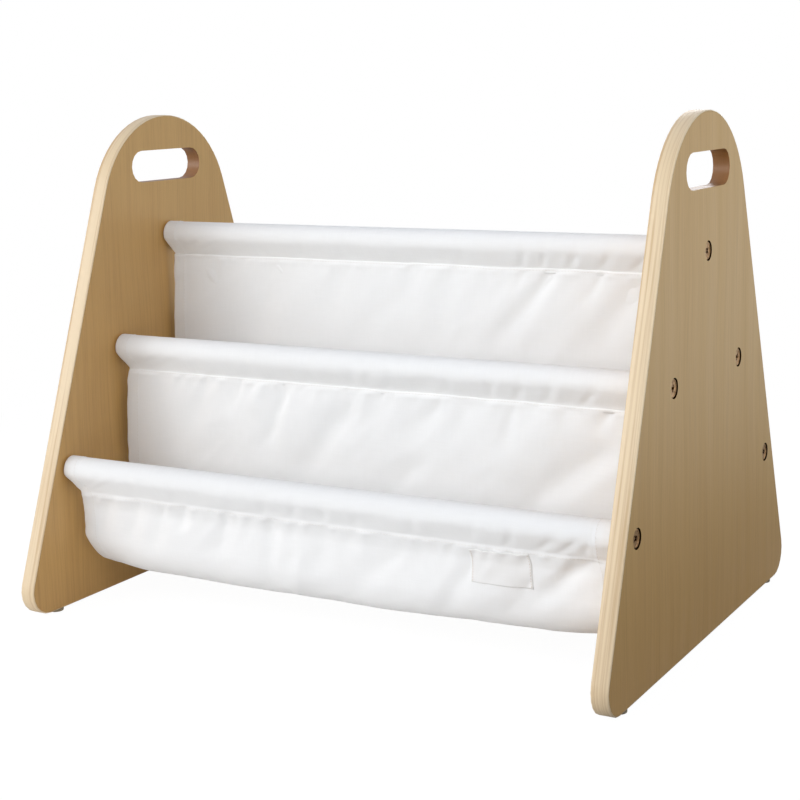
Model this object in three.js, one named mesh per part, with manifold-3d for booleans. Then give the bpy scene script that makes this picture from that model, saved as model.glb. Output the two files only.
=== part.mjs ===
// A child's double-sided sling bookshelf. Two A-shaped side panels stand on small pads, five rods
// are bolted between them, and a white cloth sling hangs from the rods in four pockets.
// Millimetres, +Z up, +X along the rods, the front towards -Y, the origin on the floor in the middle.
import * as THREE from 'three';
import { mergeVertices } from 'three/addons/utils/BufferGeometryUtils.js';
import Module from 'manifold-3d';

// Side panels: A-shaped boards with a round top, rounded feet and a banded edge
const overallWidth = 580;
const panelHeight = 455;
const panelDepth = 447;
const panelThickness = 15;
const apexRadius = 101.5;
const cornerRadius = 23;
const edgeBandThickness = 1.4;
const edgeRounding = 0.9;
const glueLine = 0.1;

// Grip slot near the top of each panel
const slotLength = 110;
const slotHeight = 31;
const slotBelowTop = 49.5;

// Rods, from the low pair up to the single one at the top
const rodDiameter = 22;
const rodChamfer = 1;
const lowRodHeight = 133;
const lowRodFromEdge = 22.5;
const topRodBelowSlot = 68.5;

// Connector bolts, and the threaded inserts that they screw into
const boltHeadDiameter = 15.5;
const boltHeadHeight = 2.4;
const boltHeadRounding = 0.7;
const boltDiameter = 6;
const boltLength = 38;
const boltPointLength = 1.2;
const recessLength = 5.6;
const recessWidth = 1.5;
const recessDepth = 1.5;
const counterboreDiameter = 17.5;
const counterboreDepth = 5;
const insertDiameter = 10;
const insertLength = 18;
const insertFlangeDiameter = 14;
const insertFlangeHeight = 1.4;

// Cloth: a sleeve round each rod, closed by a seam, and the pockets between the rods
const clothThickness = 1.2;
const sleeveEase = 0.3;
const seamDrop = 22;
const seamTab = 3;
const seamFlare = 16;
const pocketDrop = 101;
const frontWallInset = 4.6;
const backWallInset = 6.8;
const pocketSideInset = 8;
const endLift = 5;
const endLiftReach = 70;
const foldDepth = 2;
const foldSpacing = 134;
const foldFade = 60;
const slowFoldPhase = 1;
const midFlareShare = 0.6;

// Label sewn to the front of the low front pocket
const labelWidth = 55;
const labelHeight = 27;
const labelThickness = 0.6;
const labelBelowSeam = 5.5;
const labelFromPanel = 104;

// Round glides under the panels, placed from where a corner's rounding ends
const footHeight = 3;
const footDiameter = 14;
const footRounding = 0.8;
const footFromCorner = 15;

// Clearances and one overrun for every cut
const fitGap = 0.3;
const boltTipGap = 2;
const cutOverrun = 2;

// Facets of the round forms
const apexSteps = 24;
const cornerSteps = 6;
const slotSteps = 8;
const rodSides = 20;
const boltSides = 15;
const holeSides = 16;
const insertSides = 12;
const sleeveSteps = 9;
const pocketSteps = 8;
const backWallSteps = 3;
const acrossSteps = 12;
const labelColumns = 3;
const footSides = 16;
const footSteps = 2;

// Heights and depths that follow from the sizes above
const innerHalfWidth = overallWidth / 2 - panelThickness;
const rodRadius = rodDiameter / 2;
const panelTop = footHeight + panelHeight;
const slotCentreHeight = panelTop - slotBelowTop;
const topRodHeight = slotCentreHeight - topRodBelowSlot;
const middleRodHeight = (topRodHeight + lowRodHeight) / 2;
const lowRodDepth = sideEdgeDepth(lowRodHeight - footHeight) - lowRodFromEdge;
const middleRodDepth = lowRodDepth / 2;
const boltHeadSeat = overallWidth / 2 - counterboreDepth;
const rodHalfLength = innerHalfWidth - fitGap;

// Each rod by its name and the place of its axis
const rods = {
  top: { depth: 0, height: topRodHeight },
  front_middle: { depth: -middleRodDepth, height: middleRodHeight },
  front_low: { depth: -lowRodDepth, height: lowRodHeight },
  rear_middle: { depth: middleRodDepth, height: middleRodHeight },
  rear_low: { depth: lowRodDepth, height: lowRodHeight },
};

const wasm = await Module();
wasm.setup();

const materials = {
  face: new THREE.MeshStandardMaterial({ color: 0xc9a877, roughness: 0.5, metalness: 0 }),
  band: new THREE.MeshStandardMaterial({ color: 0xecd6b0, roughness: 0.5, metalness: 0 }),
  dowel: new THREE.MeshStandardMaterial({ color: 0xdcbd8c, roughness: 0.6, metalness: 0 }),
  bronze: new THREE.MeshStandardMaterial({ color: 0x8a7350, roughness: 0.35, metalness: 1 }),
  zinc: new THREE.MeshStandardMaterial({ color: 0xb9bcc0, roughness: 0.4, metalness: 1 }),
  cloth: new THREE.MeshStandardMaterial({ color: 0xf4f2ee, roughness: 0.9, metalness: 0 }),
  label: new THREE.MeshStandardMaterial({ color: 0xf3e9d6, roughness: 0.9, metalness: 0 }),
  pad: new THREE.MeshStandardMaterial({ color: 0xb8a88c, roughness: 0.8, metalness: 0 }),
};

// The angle of a side edge's outward normal, which is the tangent common to corner and apex
function sideNormalAngle() {
  const run = -(panelDepth / 2 - cornerRadius);
  const rise = panelHeight - apexRadius - cornerRadius;
  const reach = Math.hypot(run, rise);
  return Math.atan2(rise, run) - Math.acos((cornerRadius - apexRadius) / reach);
}

// How far from the middle the straight side edge lies, at a height above the panel's lower edge
function sideEdgeDepth(height) {
  const angle = sideNormalAngle();
  const cornerDepth = panelDepth / 2 - cornerRadius;
  const fromCorner = (height - cornerRadius) * Math.sin(angle);
  return cornerDepth + (cornerRadius - fromCorner) / Math.cos(angle);
}

// The panel's outline, drawn in by an inset. X is the depth, Y the height above the lower edge.
function panelOutline(inset) {
  const angle = sideNormalAngle();
  const cornerDepth = panelDepth / 2 - cornerRadius;
  const corner = cornerRadius - inset;
  const outline = new THREE.Shape();
  outline.setFromPoints([
    ...arcPoints(cornerDepth, cornerRadius, corner, -Math.PI / 2, angle, cornerSteps),
    ...arcPoints(0, panelHeight - apexRadius, apexRadius - inset, angle, Math.PI - angle, apexSteps),
    ...arcPoints(-cornerDepth, cornerRadius, corner, Math.PI - angle, 1.5 * Math.PI, cornerSteps),
  ]);
  return outline;
}

function arcPoints(centreX, centreY, radius, from, to, steps) {
  const points = [];
  for (let step = 0; step <= steps; step += 1) {
    const angle = from + ((to - from) * step) / steps;
    points.push(new THREE.Vector2(centreX + radius * Math.cos(angle), centreY + radius * Math.sin(angle)));
  }
  return points;
}

// A slot outline with round ends, its length along X
function roundEnded(length, width, centreY, steps) {
  const reach = (length - width) / 2;
  const outline = new THREE.Shape();
  outline.setFromPoints([
    ...arcPoints(reach, centreY, width / 2, -Math.PI / 2, Math.PI / 2, steps),
    ...arcPoints(-reach, centreY, width / 2, Math.PI / 2, 1.5 * Math.PI, steps),
  ]);
  return outline;
}

// An outline extruded from x = from to x = to, with its own X laid along +Y and its Y along +Z
function extrudeAlongX(outline, from, to) {
  const geometry = new THREE.ExtrudeGeometry(outline, { depth: to - from, bevelEnabled: false });
  return layAlongX(geometry).translate(from, 0, 0);
}

function layAlongX(geometry) {
  const across = new THREE.Vector3(0, 1, 0);
  const up = new THREE.Vector3(0, 0, 1);
  const along = new THREE.Vector3(1, 0, 0);
  return geometry.applyMatrix4(new THREE.Matrix4().makeBasis(across, up, along));
}

// A turned piece about the X axis, from a profile of radius and place along X
function turnedAlongX(profile, sides) {
  const points = profile.map(([radius, along]) => new THREE.Vector2(radius, along));
  return new THREE.LatheGeometry(points, sides).rotateZ(-Math.PI / 2);
}

function solidOf(geometry) {
  const bare = geometry.clone();
  bare.deleteAttribute('normal');
  bare.deleteAttribute('uv');
  const merged = mergeVertices(bare);
  const vertProperties = Float32Array.from(merged.attributes.position.array);
  const triVerts = Uint32Array.from(merged.index.array);
  return new wasm.Manifold(new wasm.Mesh({ numProp: 3, vertProperties, triVerts }));
}

function geometryOf(solid) {
  const mesh = solid.getMesh();
  const geometry = new THREE.BufferGeometry();
  geometry.setAttribute('position', new THREE.BufferAttribute(Float32Array.from(mesh.vertProperties), 3));
  geometry.setIndex(new THREE.BufferAttribute(Uint32Array.from(mesh.triVerts), 1));
  geometry.computeVertexNormals();
  return geometry;
}

function named(name, geometry, material) {
  const mesh = new THREE.Mesh(geometry, material);
  mesh.name = name;
  return mesh;
}

// The right panel: its board, cut by the grip slot and by a stepped hole for each bolt
function panelBoard() {
  const outer = overallWidth / 2;
  const board = extrudeAlongX(panelOutline(edgeBandThickness + glueLine), innerHalfWidth, outer);
  board.translate(0, 0, footHeight);
  const slotOutline = roundEnded(slotLength, slotHeight, slotCentreHeight, slotSteps);
  const slot = extrudeAlongX(slotOutline, innerHalfWidth - cutOverrun, outer + cutOverrun);
  let solid = solidOf(board).subtract(solidOf(slot));
  for (const rod of Object.values(rods)) {
    const holeProfile = [
      [0, innerHalfWidth - cutOverrun],
      [boltDiameter / 2 + fitGap, innerHalfWidth - cutOverrun],
      [boltDiameter / 2 + fitGap, boltHeadSeat],
      [counterboreDiameter / 2, boltHeadSeat],
      [counterboreDiameter / 2, outer + cutOverrun],
      [0, outer + cutOverrun],
    ];
    const hole = turnedAlongX(holeProfile, holeSides).translate(0, rod.depth, rod.height);
    solid = solid.subtract(solidOf(hole));
  }
  return geometryOf(solid);
}

// The tape glued round the board's edge, with its outer corners eased
function panelEdgeBand() {
  const outline = panelOutline(0);
  const easedBoard = new THREE.ExtrudeGeometry(outline, {
    depth: panelThickness - 2 * edgeRounding,
    bevelEnabled: true,
    bevelThickness: edgeRounding,
    bevelSize: edgeRounding,
    bevelOffset: -edgeRounding,
    bevelSegments: 2,
  });
  layAlongX(easedBoard).translate(innerHalfWidth + edgeRounding, 0, footHeight);
  const core = extrudeAlongX(
    panelOutline(edgeBandThickness),
    innerHalfWidth - cutOverrun,
    overallWidth / 2 + cutOverrun,
  );
  core.translate(0, 0, footHeight);
  return geometryOf(solidOf(easedBoard).subtract(solidOf(core)));
}

// A rod with a stepped bore in each end, for the insert and for the bolt's point
function rodGeometry() {
  const boltTip = boltHeadSeat + fitGap - boltLength;
  const flangeSeat = rodHalfLength - insertFlangeHeight - fitGap;
  const insertSeat = rodHalfLength - insertLength - fitGap;
  const end = [
    [0, boltTip - boltTipGap],
    [boltDiameter / 2 + fitGap, boltTip - boltTipGap],
    [boltDiameter / 2 + fitGap, insertSeat],
    [insertDiameter / 2 + fitGap, insertSeat],
    [insertDiameter / 2 + fitGap, flangeSeat],
    [insertFlangeDiameter / 2 + fitGap, flangeSeat],
    [insertFlangeDiameter / 2 + fitGap, rodHalfLength],
    [rodRadius - rodChamfer, rodHalfLength],
    [rodRadius, rodHalfLength - rodChamfer],
  ];
  const otherEnd = end.map(([radius, along]) => [radius, -along]);
  return turnedAlongX([...otherEnd, ...end.reverse()], rodSides);
}

// A flanged threaded insert, its flange just inside the rod's end
function insertGeometry() {
  const mouth = rodHalfLength;
  const foot = rodHalfLength - insertLength;
  const underFlange = mouth - insertFlangeHeight;
  const bore = boltDiameter / 2 + fitGap;
  return turnedAlongX([
    [bore, foot],
    [insertDiameter / 2, foot],
    [insertDiameter / 2, underFlange],
    [insertFlangeDiameter / 2, underFlange],
    [insertFlangeDiameter / 2, mouth],
    [bore, mouth],
    [bore, foot],
  ], insertSides);
}

// A connector bolt with a flat disc head and a cross recess
function boltGeometry() {
  const seat = boltHeadSeat + fitGap;
  const headTop = seat + boltHeadHeight;
  const shank = boltDiameter / 2;
  const head = boltHeadDiameter / 2;
  const blank = turnedAlongX([
    [0, seat - boltLength],
    [shank - boltPointLength / 2, seat - boltLength],
    [shank, seat - boltLength + boltPointLength],
    [shank, seat],
    [head, seat],
    [head, headTop - boltHeadRounding],
    [head - boltHeadRounding, headTop],
    [0, headTop],
  ], boltSides);
  const slotSizes = [[recessLength, recessWidth], [recessWidth, recessLength]];
  let solid = solidOf(blank);
  for (const [wide, high] of slotSizes) {
    const cut = new THREE.BoxGeometry(recessDepth + cutOverrun, wide, high);
    cut.translate(headTop - recessDepth + (recessDepth + cutOverrun) / 2, 0, 0);
    solid = solid.subtract(solidOf(cut));
  }
  return geometryOf(solid);
}

// A glide, with its lower rim rounded over
function footGeometry() {
  const radius = footDiameter / 2;
  const profile = [
    new THREE.Vector2(0, 0),
    ...arcPoints(radius - footRounding, footRounding, footRounding, -Math.PI / 2, 0, footSteps),
    new THREE.Vector2(radius, footHeight - fitGap),
    new THREE.Vector2(0, footHeight - fitGap),
  ];
  return new THREE.LatheGeometry(profile, footSides).rotateX(Math.PI / 2);
}

function smooth(share) {
  const held = Math.min(Math.max(share, 0), 1);
  return held * held * (3 - 2 * held);
}

// The round part of a sleeve's section, from its front tangent over the rod to its rear tangent.
// Places are depth and height from the rod's axis, and the cloth's middle surface is drawn.
function sleeveArc() {
  const inner = rodRadius + fitGap + sleeveEase;
  const tangent = Math.asin((inner + clothThickness / 2) / (seamDrop - seamTab - sleeveEase));
  const halfStep = (Math.PI / 2 + tangent) / sleeveSteps;
  const radius = inner / Math.cos(halfStep) + clothThickness / 2;
  return arcPoints(0, -sleeveEase, radius, Math.PI + tangent, -tangent, sleeveSteps);
}

// The two ends of a sleeve's loop hang back to back at the seam
const seamSide = (clothThickness + fitGap) / 2;

function sleeveLoop() {
  return [
    new THREE.Vector2(-seamSide, -seamDrop),
    new THREE.Vector2(-seamSide, seamTab - seamDrop),
    ...sleeveArc(),
    new THREE.Vector2(seamSide, seamTab - seamDrop),
    new THREE.Vector2(seamSide, -seamDrop),
  ];
}

// A pocket's section below the seam of its low rod: front wall, round bottom, and back wall up to
// the seam of the high rod. Places are from the low rod's axis, with the pocket towards +X.
function pocketSection(rowDepth, rowRise, seamStart) {
  const radius = (rowDepth - frontWallInset - backWallInset) / 2;
  const centre = frontWallInset + radius;
  const centreHeight = radius - pocketDrop;
  const midFlare = THREE.MathUtils.lerp(seamStart, frontWallInset, midFlareShare);
  const points = [
    new THREE.Vector2(midFlare, -seamDrop - seamFlare / 2),
    new THREE.Vector2(frontWallInset, -seamDrop - seamFlare),
    ...arcPoints(centre, centreHeight, radius, Math.PI, 2 * Math.PI, pocketSteps),
  ];
  const top = new THREE.Vector2(rowDepth - seamSide, rowRise - seamDrop - fitGap);
  const tab = new THREE.Vector2(top.x, top.y - seamTab);
  const foot = points[points.length - 1];
  for (let step = 1; step <= backWallSteps; step += 1) {
    points.push(foot.clone().lerp(tab, step / backWallSteps));
  }
  points.push(top);
  return points;
}

// Places across the sling, as shares of its half width, with one more near each end
const endStationShare = 0.96;
const acrossShares = [-1, -endStationShare];
for (let step = 1; step < acrossSteps; step += 1) {
  acrossShares.push((2 * step) / acrossSteps - 1);
}
acrossShares.push(endStationShare, 1);

// How far the cloth stands out of its plain section: soft upright folds that fade at the seams
function foldAt(across, fromLowSeam, fromHighSeam) {
  const fade = smooth(fromLowSeam / foldFade) * smooth(fromHighSeam / foldFade);
  const wave = Math.cos((2 * Math.PI * across) / foldSpacing);
  const slowWave = Math.cos((Math.PI * across) / foldSpacing + slowFoldPhase);
  return (foldDepth * fade * (wave + slowWave)) / 2;
}

// How far the pocket's bottom lifts towards the side edges
function liftAt(across) {
  const fromEdge = innerHalfWidth - pocketSideInset - Math.abs(across);
  return endLift * (1 - smooth(fromEdge / endLiftReach));
}

// Half the cloth's width at a height from its rod: out to the panels on the sleeve, less below it
function halfWidthAt(heightFromRod) {
  const below = (-rodRadius - heightFromRod) / (seamDrop - rodRadius);
  const inset = fitGap + (pocketSideInset - fitGap) * Math.min(Math.max(below, 0), 1);
  return innerHalfWidth - inset;
}

// A closed sheet between two faces, half a thickness either side of rows of middle points.
// Each row runs along the section at one place across. The section is seen from +X.
function sheetGeometry(rows, thickness) {
  const across = rows.length;
  const along = rows[0].length;
  const faces = [1, -1].map((face) => rows.map((row) => row.map((point, place) => {
    const before = row[Math.max(place - 1, 0)];
    const after = row[Math.min(place + 1, along - 1)];
    const run = new THREE.Vector3(0, after.y - before.y, after.z - before.z).normalize();
    const out = new THREE.Vector3(0, -run.z, run.y);
    return point.clone().addScaledVector(out, (face * thickness) / 2);
  })));
  const vertices = faces.flat(2);
  const geometry = new THREE.BufferGeometry().setFromPoints(vertices);
  const at = (face, row, place) => face * across * along + row * along + place;
  const index = [];
  const quad = (a, b, c, d) => index.push(a, b, c, a, c, d);
  for (let row = 0; row < across - 1; row += 1) {
    for (let place = 0; place < along - 1; place += 1) {
      quad(at(0, row, place), at(0, row + 1, place), at(0, row + 1, place + 1), at(0, row, place + 1));
      quad(at(1, row, place), at(1, row, place + 1), at(1, row + 1, place + 1), at(1, row + 1, place));
    }
    const last = along - 1;
    quad(at(0, row, 0), at(1, row, 0), at(1, row + 1, 0), at(0, row + 1, 0));
    quad(at(0, row, last), at(0, row + 1, last), at(1, row + 1, last), at(1, row, last));
  }
  for (let place = 0; place < along - 1; place += 1) {
    const end = across - 1;
    quad(at(0, 0, place), at(0, 0, place + 1), at(1, 0, place + 1), at(1, 0, place));
    quad(at(0, end, place), at(1, end, place), at(1, end, place + 1), at(0, end, place + 1));
  }
  geometry.setIndex(index);
  geometry.computeVertexNormals();
  return geometry;
}

// The rows of the rear sheet that mirrors a front one
function mirrored(rows) {
  return rows.map((row) => row.map((point) => new THREE.Vector3(point.x, -point.y, point.z)));
}

// One pocket with the sleeve of its low rod. Only the low pocket's sleeve ends in a hem behind
// its own front wall; the upper one's starts at the front, over the wall of the pocket below.
function pocketRows(low, high, startsAtFront) {
  const rowDepth = high.depth - low.depth;
  const rowRise = high.height - low.height;
  const loop = sleeveLoop();
  if (!startsAtFront) {
    loop.reverse();
  }
  const seamStart = loop[loop.length - 1].x;
  const section = [...loop, ...pocketSection(rowDepth, rowRise, seamStart)];
  const walls = loop.length;
  return acrossShares.map((share) => section.map((point, place) => {
    const nearHigh = place >= walls && point.x > rowDepth / 2;
    const fromRod = nearHigh ? point.y - rowRise : point.y;
    const across = share * halfWidthAt(fromRod);
    if (place < walls) {
      return new THREE.Vector3(across, low.depth + point.x, low.height + point.y);
    }
    const lowSeam = place === walls ? 0 : -seamDrop - point.y;
    const highSeam = nearHigh ? rowRise - seamDrop - fitGap - point.y : foldFade;
    const hang = smooth(lowSeam / foldFade);
    const fold = foldAt(across, nearHigh ? foldFade : lowSeam, highSeam);
    const lift = liftAt(across) * hang * smooth(highSeam / (pocketDrop - seamDrop));
    return new THREE.Vector3(across, low.depth + point.x - fold, low.height + point.y + lift);
  }));
}

function topSleeveRows() {
  return [-1, 1].map((share) => sleeveLoop().map((point) => {
    const across = share * halfWidthAt(point.y);
    return new THREE.Vector3(across, rods.top.depth + point.x, rods.top.height + point.y);
  }));
}

// The label follows the front wall that it is sewn to
const labelRowShares = [0, 0.5, 1];

function labelRows() {
  const outer = innerHalfWidth - labelFromPanel + labelWidth / 2;
  const proud = (clothThickness + labelThickness) / 2 + fitGap;
  const rows = [];
  for (let column = 0; column <= labelColumns; column += 1) {
    const across = outer - labelWidth + (labelWidth * column) / labelColumns;
    const row = labelRowShares.map((share) => {
      const fromSeam = labelBelowSeam + labelHeight * share;
      const wall = frontWallInset * Math.min(fromSeam / seamFlare, 1);
      const fold = foldAt(across, fromSeam, foldFade);
      const depth = rods.front_low.depth + wall - fold - proud;
      return new THREE.Vector3(across, depth, rods.front_low.height - seamDrop - fromSeam);
    });
    rows.push(row);
  }
  return rows;
}

const bookshelf = new THREE.Group();
bookshelf.name = 'sling_bookshelf';

// Both ends are alike front to back, so the left one is the right one turned half round
const boardGeometry = panelBoard();
const bandGeometry = panelEdgeBand();
const padGeometry = footGeometry();
const bolt = boltGeometry();
const insert = insertGeometry();
const footDepth = panelDepth / 2 - cornerRadius - footFromCorner;
for (const [side, facing] of [['right', 1], ['left', -1]]) {
  const end = new THREE.Group();
  end.rotation.z = facing > 0 ? 0 : Math.PI;
  end.add(named(`${side}_side_panel`, boardGeometry, materials.face));
  end.add(named(`${side}_edge_band`, bandGeometry, materials.band));
  for (const [row, depth] of [['front', -footDepth], ['rear', footDepth]]) {
    const foot = named(`${row}_${side}_foot`, padGeometry, materials.pad);
    foot.position.set(overallWidth / 2 - panelThickness / 2, facing * depth, 0);
    end.add(foot);
  }
  for (const [place, rod] of Object.entries(rods)) {
    const fasteners = new THREE.Group();
    fasteners.position.set(0, facing * rod.depth, rod.height);
    fasteners.add(named(`${place}_${side}_bolt`, bolt, materials.bronze));
    fasteners.add(named(`${place}_${side}_insert`, insert, materials.zinc));
    end.add(fasteners);
  }
  bookshelf.add(end);
}

const dowel = rodGeometry();
for (const [place, rod] of Object.entries(rods)) {
  const mesh = named(`${place}_rod`, dowel, materials.dowel);
  mesh.position.set(0, rod.depth, rod.height);
  bookshelf.add(mesh);
}

const lowRows = pocketRows(rods.front_low, rods.front_middle, false);
const upperRows = pocketRows(rods.front_middle, rods.top, true);
const clothPieces = [
  ['front_lower_pocket', lowRows],
  ['front_upper_pocket', upperRows],
  ['top_sleeve', topSleeveRows()],
  ['rear_upper_pocket', mirrored(upperRows)],
  ['rear_lower_pocket', mirrored(lowRows)],
];
for (const [name, rows] of clothPieces) {
  bookshelf.add(named(name, sheetGeometry(rows, clothThickness), materials.cloth));
}
bookshelf.add(named('pocket_label', sheetGeometry(labelRows(), labelThickness), materials.label));

export default bookshelf;
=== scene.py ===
"""Dresses the sling bookshelf: maple-faced board, bronze bolts and a hung canvas sling."""

import math

import bmesh
import bpy
from mathutils import Matrix, Vector, noise


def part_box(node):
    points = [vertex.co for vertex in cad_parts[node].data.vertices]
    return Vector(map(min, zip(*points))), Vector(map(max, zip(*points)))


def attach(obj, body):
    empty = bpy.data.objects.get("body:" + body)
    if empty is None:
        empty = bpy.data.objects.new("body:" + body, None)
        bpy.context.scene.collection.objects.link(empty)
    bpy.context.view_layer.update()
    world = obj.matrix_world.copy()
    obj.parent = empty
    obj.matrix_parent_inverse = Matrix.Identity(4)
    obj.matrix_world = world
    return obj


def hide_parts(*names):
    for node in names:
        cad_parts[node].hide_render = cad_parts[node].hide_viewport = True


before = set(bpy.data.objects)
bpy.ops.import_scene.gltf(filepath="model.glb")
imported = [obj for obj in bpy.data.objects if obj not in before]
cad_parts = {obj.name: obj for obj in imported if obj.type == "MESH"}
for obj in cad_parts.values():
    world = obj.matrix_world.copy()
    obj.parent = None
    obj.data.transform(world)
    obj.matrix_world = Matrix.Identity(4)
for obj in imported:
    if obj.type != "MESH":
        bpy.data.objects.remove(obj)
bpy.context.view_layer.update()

bl_info = {
    "name": "Sling bookshelf",
    "version": (1, 0, 0),
    "blender": (4, 5, 0),
    "location": "View3D > Sidebar > Bookshelf",
    "description": "Dresses a double-sided sling bookshelf with wood, bolts, canvas and stitching",
    "category": "Object",
}

MM = 0.001
SIDES = ("left", "right")
ROD_PLACES = ("top", "front_middle", "front_low", "rear_middle", "rear_low")


def linear(hex_colour):
    """The scene-linear RGBA colour of an sRGB hex value."""
    channels = [int(hex_colour[at:at + 2], 16) / 255 for at in (0, 2, 4)]
    curve = [c / 12.92 if c <= 0.04045 else ((c + 0.055) / 1.055) ** 2.4 for c in channels]
    return (*curve, 1.0)


def length(name, description, default_mm):
    """A length that a user may change, given here in millimetres."""
    return bpy.props.FloatProperty(
        name=name, description=description, default=default_mm * MM, min=0.0,
        precision=5, subtype="DISTANCE", unit="LENGTH",
    )


def colour(name, description, hex_colour):
    """A finish's colour that a user may change."""
    return bpy.props.FloatVectorProperty(
        name=name, description=description, default=linear(hex_colour), size=4,
        min=0.0, max=1.0, subtype="COLOR",
    )


class ClothSizes(bpy.types.PropertyGroup):
    """How the sling is cut, hemmed and sewn."""
    thickness: length("Cloth thickness", "Thickness of one layer of canvas", 0.7)
    hem: length("Side hem", "Width of the doubled hem down each side", 14)
    seam_drop: length("Seam drop", "From a rod's axis down to its sleeve's seam", 22)
    flap: length("Seam allowance", "How far the turned end hangs below a low seam", 7)
    grid: length("Mesh spacing", "Distance between the cloth's mesh points", 2.7)
    fold_depth: length("Fold depth", "Depth of the soft folds across the walls", 2.2)
    pucker: length("Pucker", "Depth of the small gathers beside a seam", 0.75)
    stitch: length("Stitch", "Length of one stitch", 2.4)
    pitch: length("Stitch pitch", "Distance from one stitch to the next", 3.2)
    thread: length("Thread", "Thickness of the sewing thread", 0.36)


class HardwareSizes(bpy.types.PropertyGroup):
    """The connector bolts and the glides."""
    head_rounding: length("Head rounding", "Rounding of the bolt head's rim", 0.5)
    crown: length("Crown", "How far the bolt head's middle stands above its CAD height", 1.4)
    recess: length("Recess", "Length of one bar of the cross recess", 8.6)
    recess_width: length("Recess width", "Width of one bar of the cross recess", 2.9)
    recess_depth: length("Recess depth", "Depth of the cross recess", 2.2)
    thread_pitch: length("Thread pitch", "Pitch of the bolt's thread", 1.0)
    glide_rounding: length("Glide rounding", "Rounding of a glide's lower rim", 0.8)


class Finishes(bpy.types.PropertyGroup):
    """The colours of the shelf's materials."""
    foil: colour("Maple foil", "The side panels' printed face", "D4A765")
    foil_grain: colour("Foil grain", "Darker lines printed in the foil", "B3834A")
    tape: colour("Edge tape", "The tape glued round the panels' edge", "EAD2AD")
    tape_grain: colour("Tape lines", "Fine lines along the edge tape", "C19964")
    cut: colour("Cut board", "The board where the slot and holes are cut", "92653B")
    dowel: colour("Dowel", "The sanded rods", "DCBD8C")
    bronze: colour("Bronze", "The bolts' plating", "D2A474")
    zinc: colour("Zinc", "The inserts' plating", "B9BCC0")
    canvas: colour("Canvas", "The sling's cloth", "F8F7F5")
    thread: colour("Thread", "The sewing thread", "F4F0EA")
    label: colour("Label tape", "The bare label", "F5F3F0")
    # The label thread is tan, and its tan also stands in for the shade at the label's turned ends:
    # partly painted shade
    label_thread_and_painted_shade: colour("Label thread", "The thread that sews the label down", "D6BEA8")
    glide: colour("Glide", "The pads under the panels", "B8A88C")


# A colour Mix node's sockets go by number: 0 is the second colour's share, 6 and 7 are the two
# colours, and output 2 is the result
def add_node(tree, kind, inputs, output=0, **settings):
    """Adds one node with its settings, each input either set or linked, and returns an output."""
    node = tree.nodes.new("ShaderNode" + kind)
    for setting, value in settings.items():
        setattr(node, setting, value)
    for place, value in inputs.items():
        if isinstance(value, bpy.types.NodeSocket):
            tree.links.new(value, node.inputs[place])
        else:
            node.inputs[place].default_value = value
    return node.outputs[output] if node.outputs else None


def new_material(name):
    """An empty material and its node tree."""
    material = bpy.data.materials.new(name)
    material.use_nodes = True
    material.node_tree.nodes.clear()
    return material, material.node_tree


def finished(material, sockets):
    """The material, ended with its principled shader, each socket set or linked."""
    shader = add_node(material.node_tree, "BsdfPrincipled", sockets)
    add_node(material.node_tree, "OutputMaterial", {"Surface": shader})
    return material


def per_metre(*sizes_mm):
    """The Mapping scale at which one unit of a pattern is so many millimetres on each axis."""
    return tuple(1 / (size * MM) for size in sizes_mm)


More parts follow.
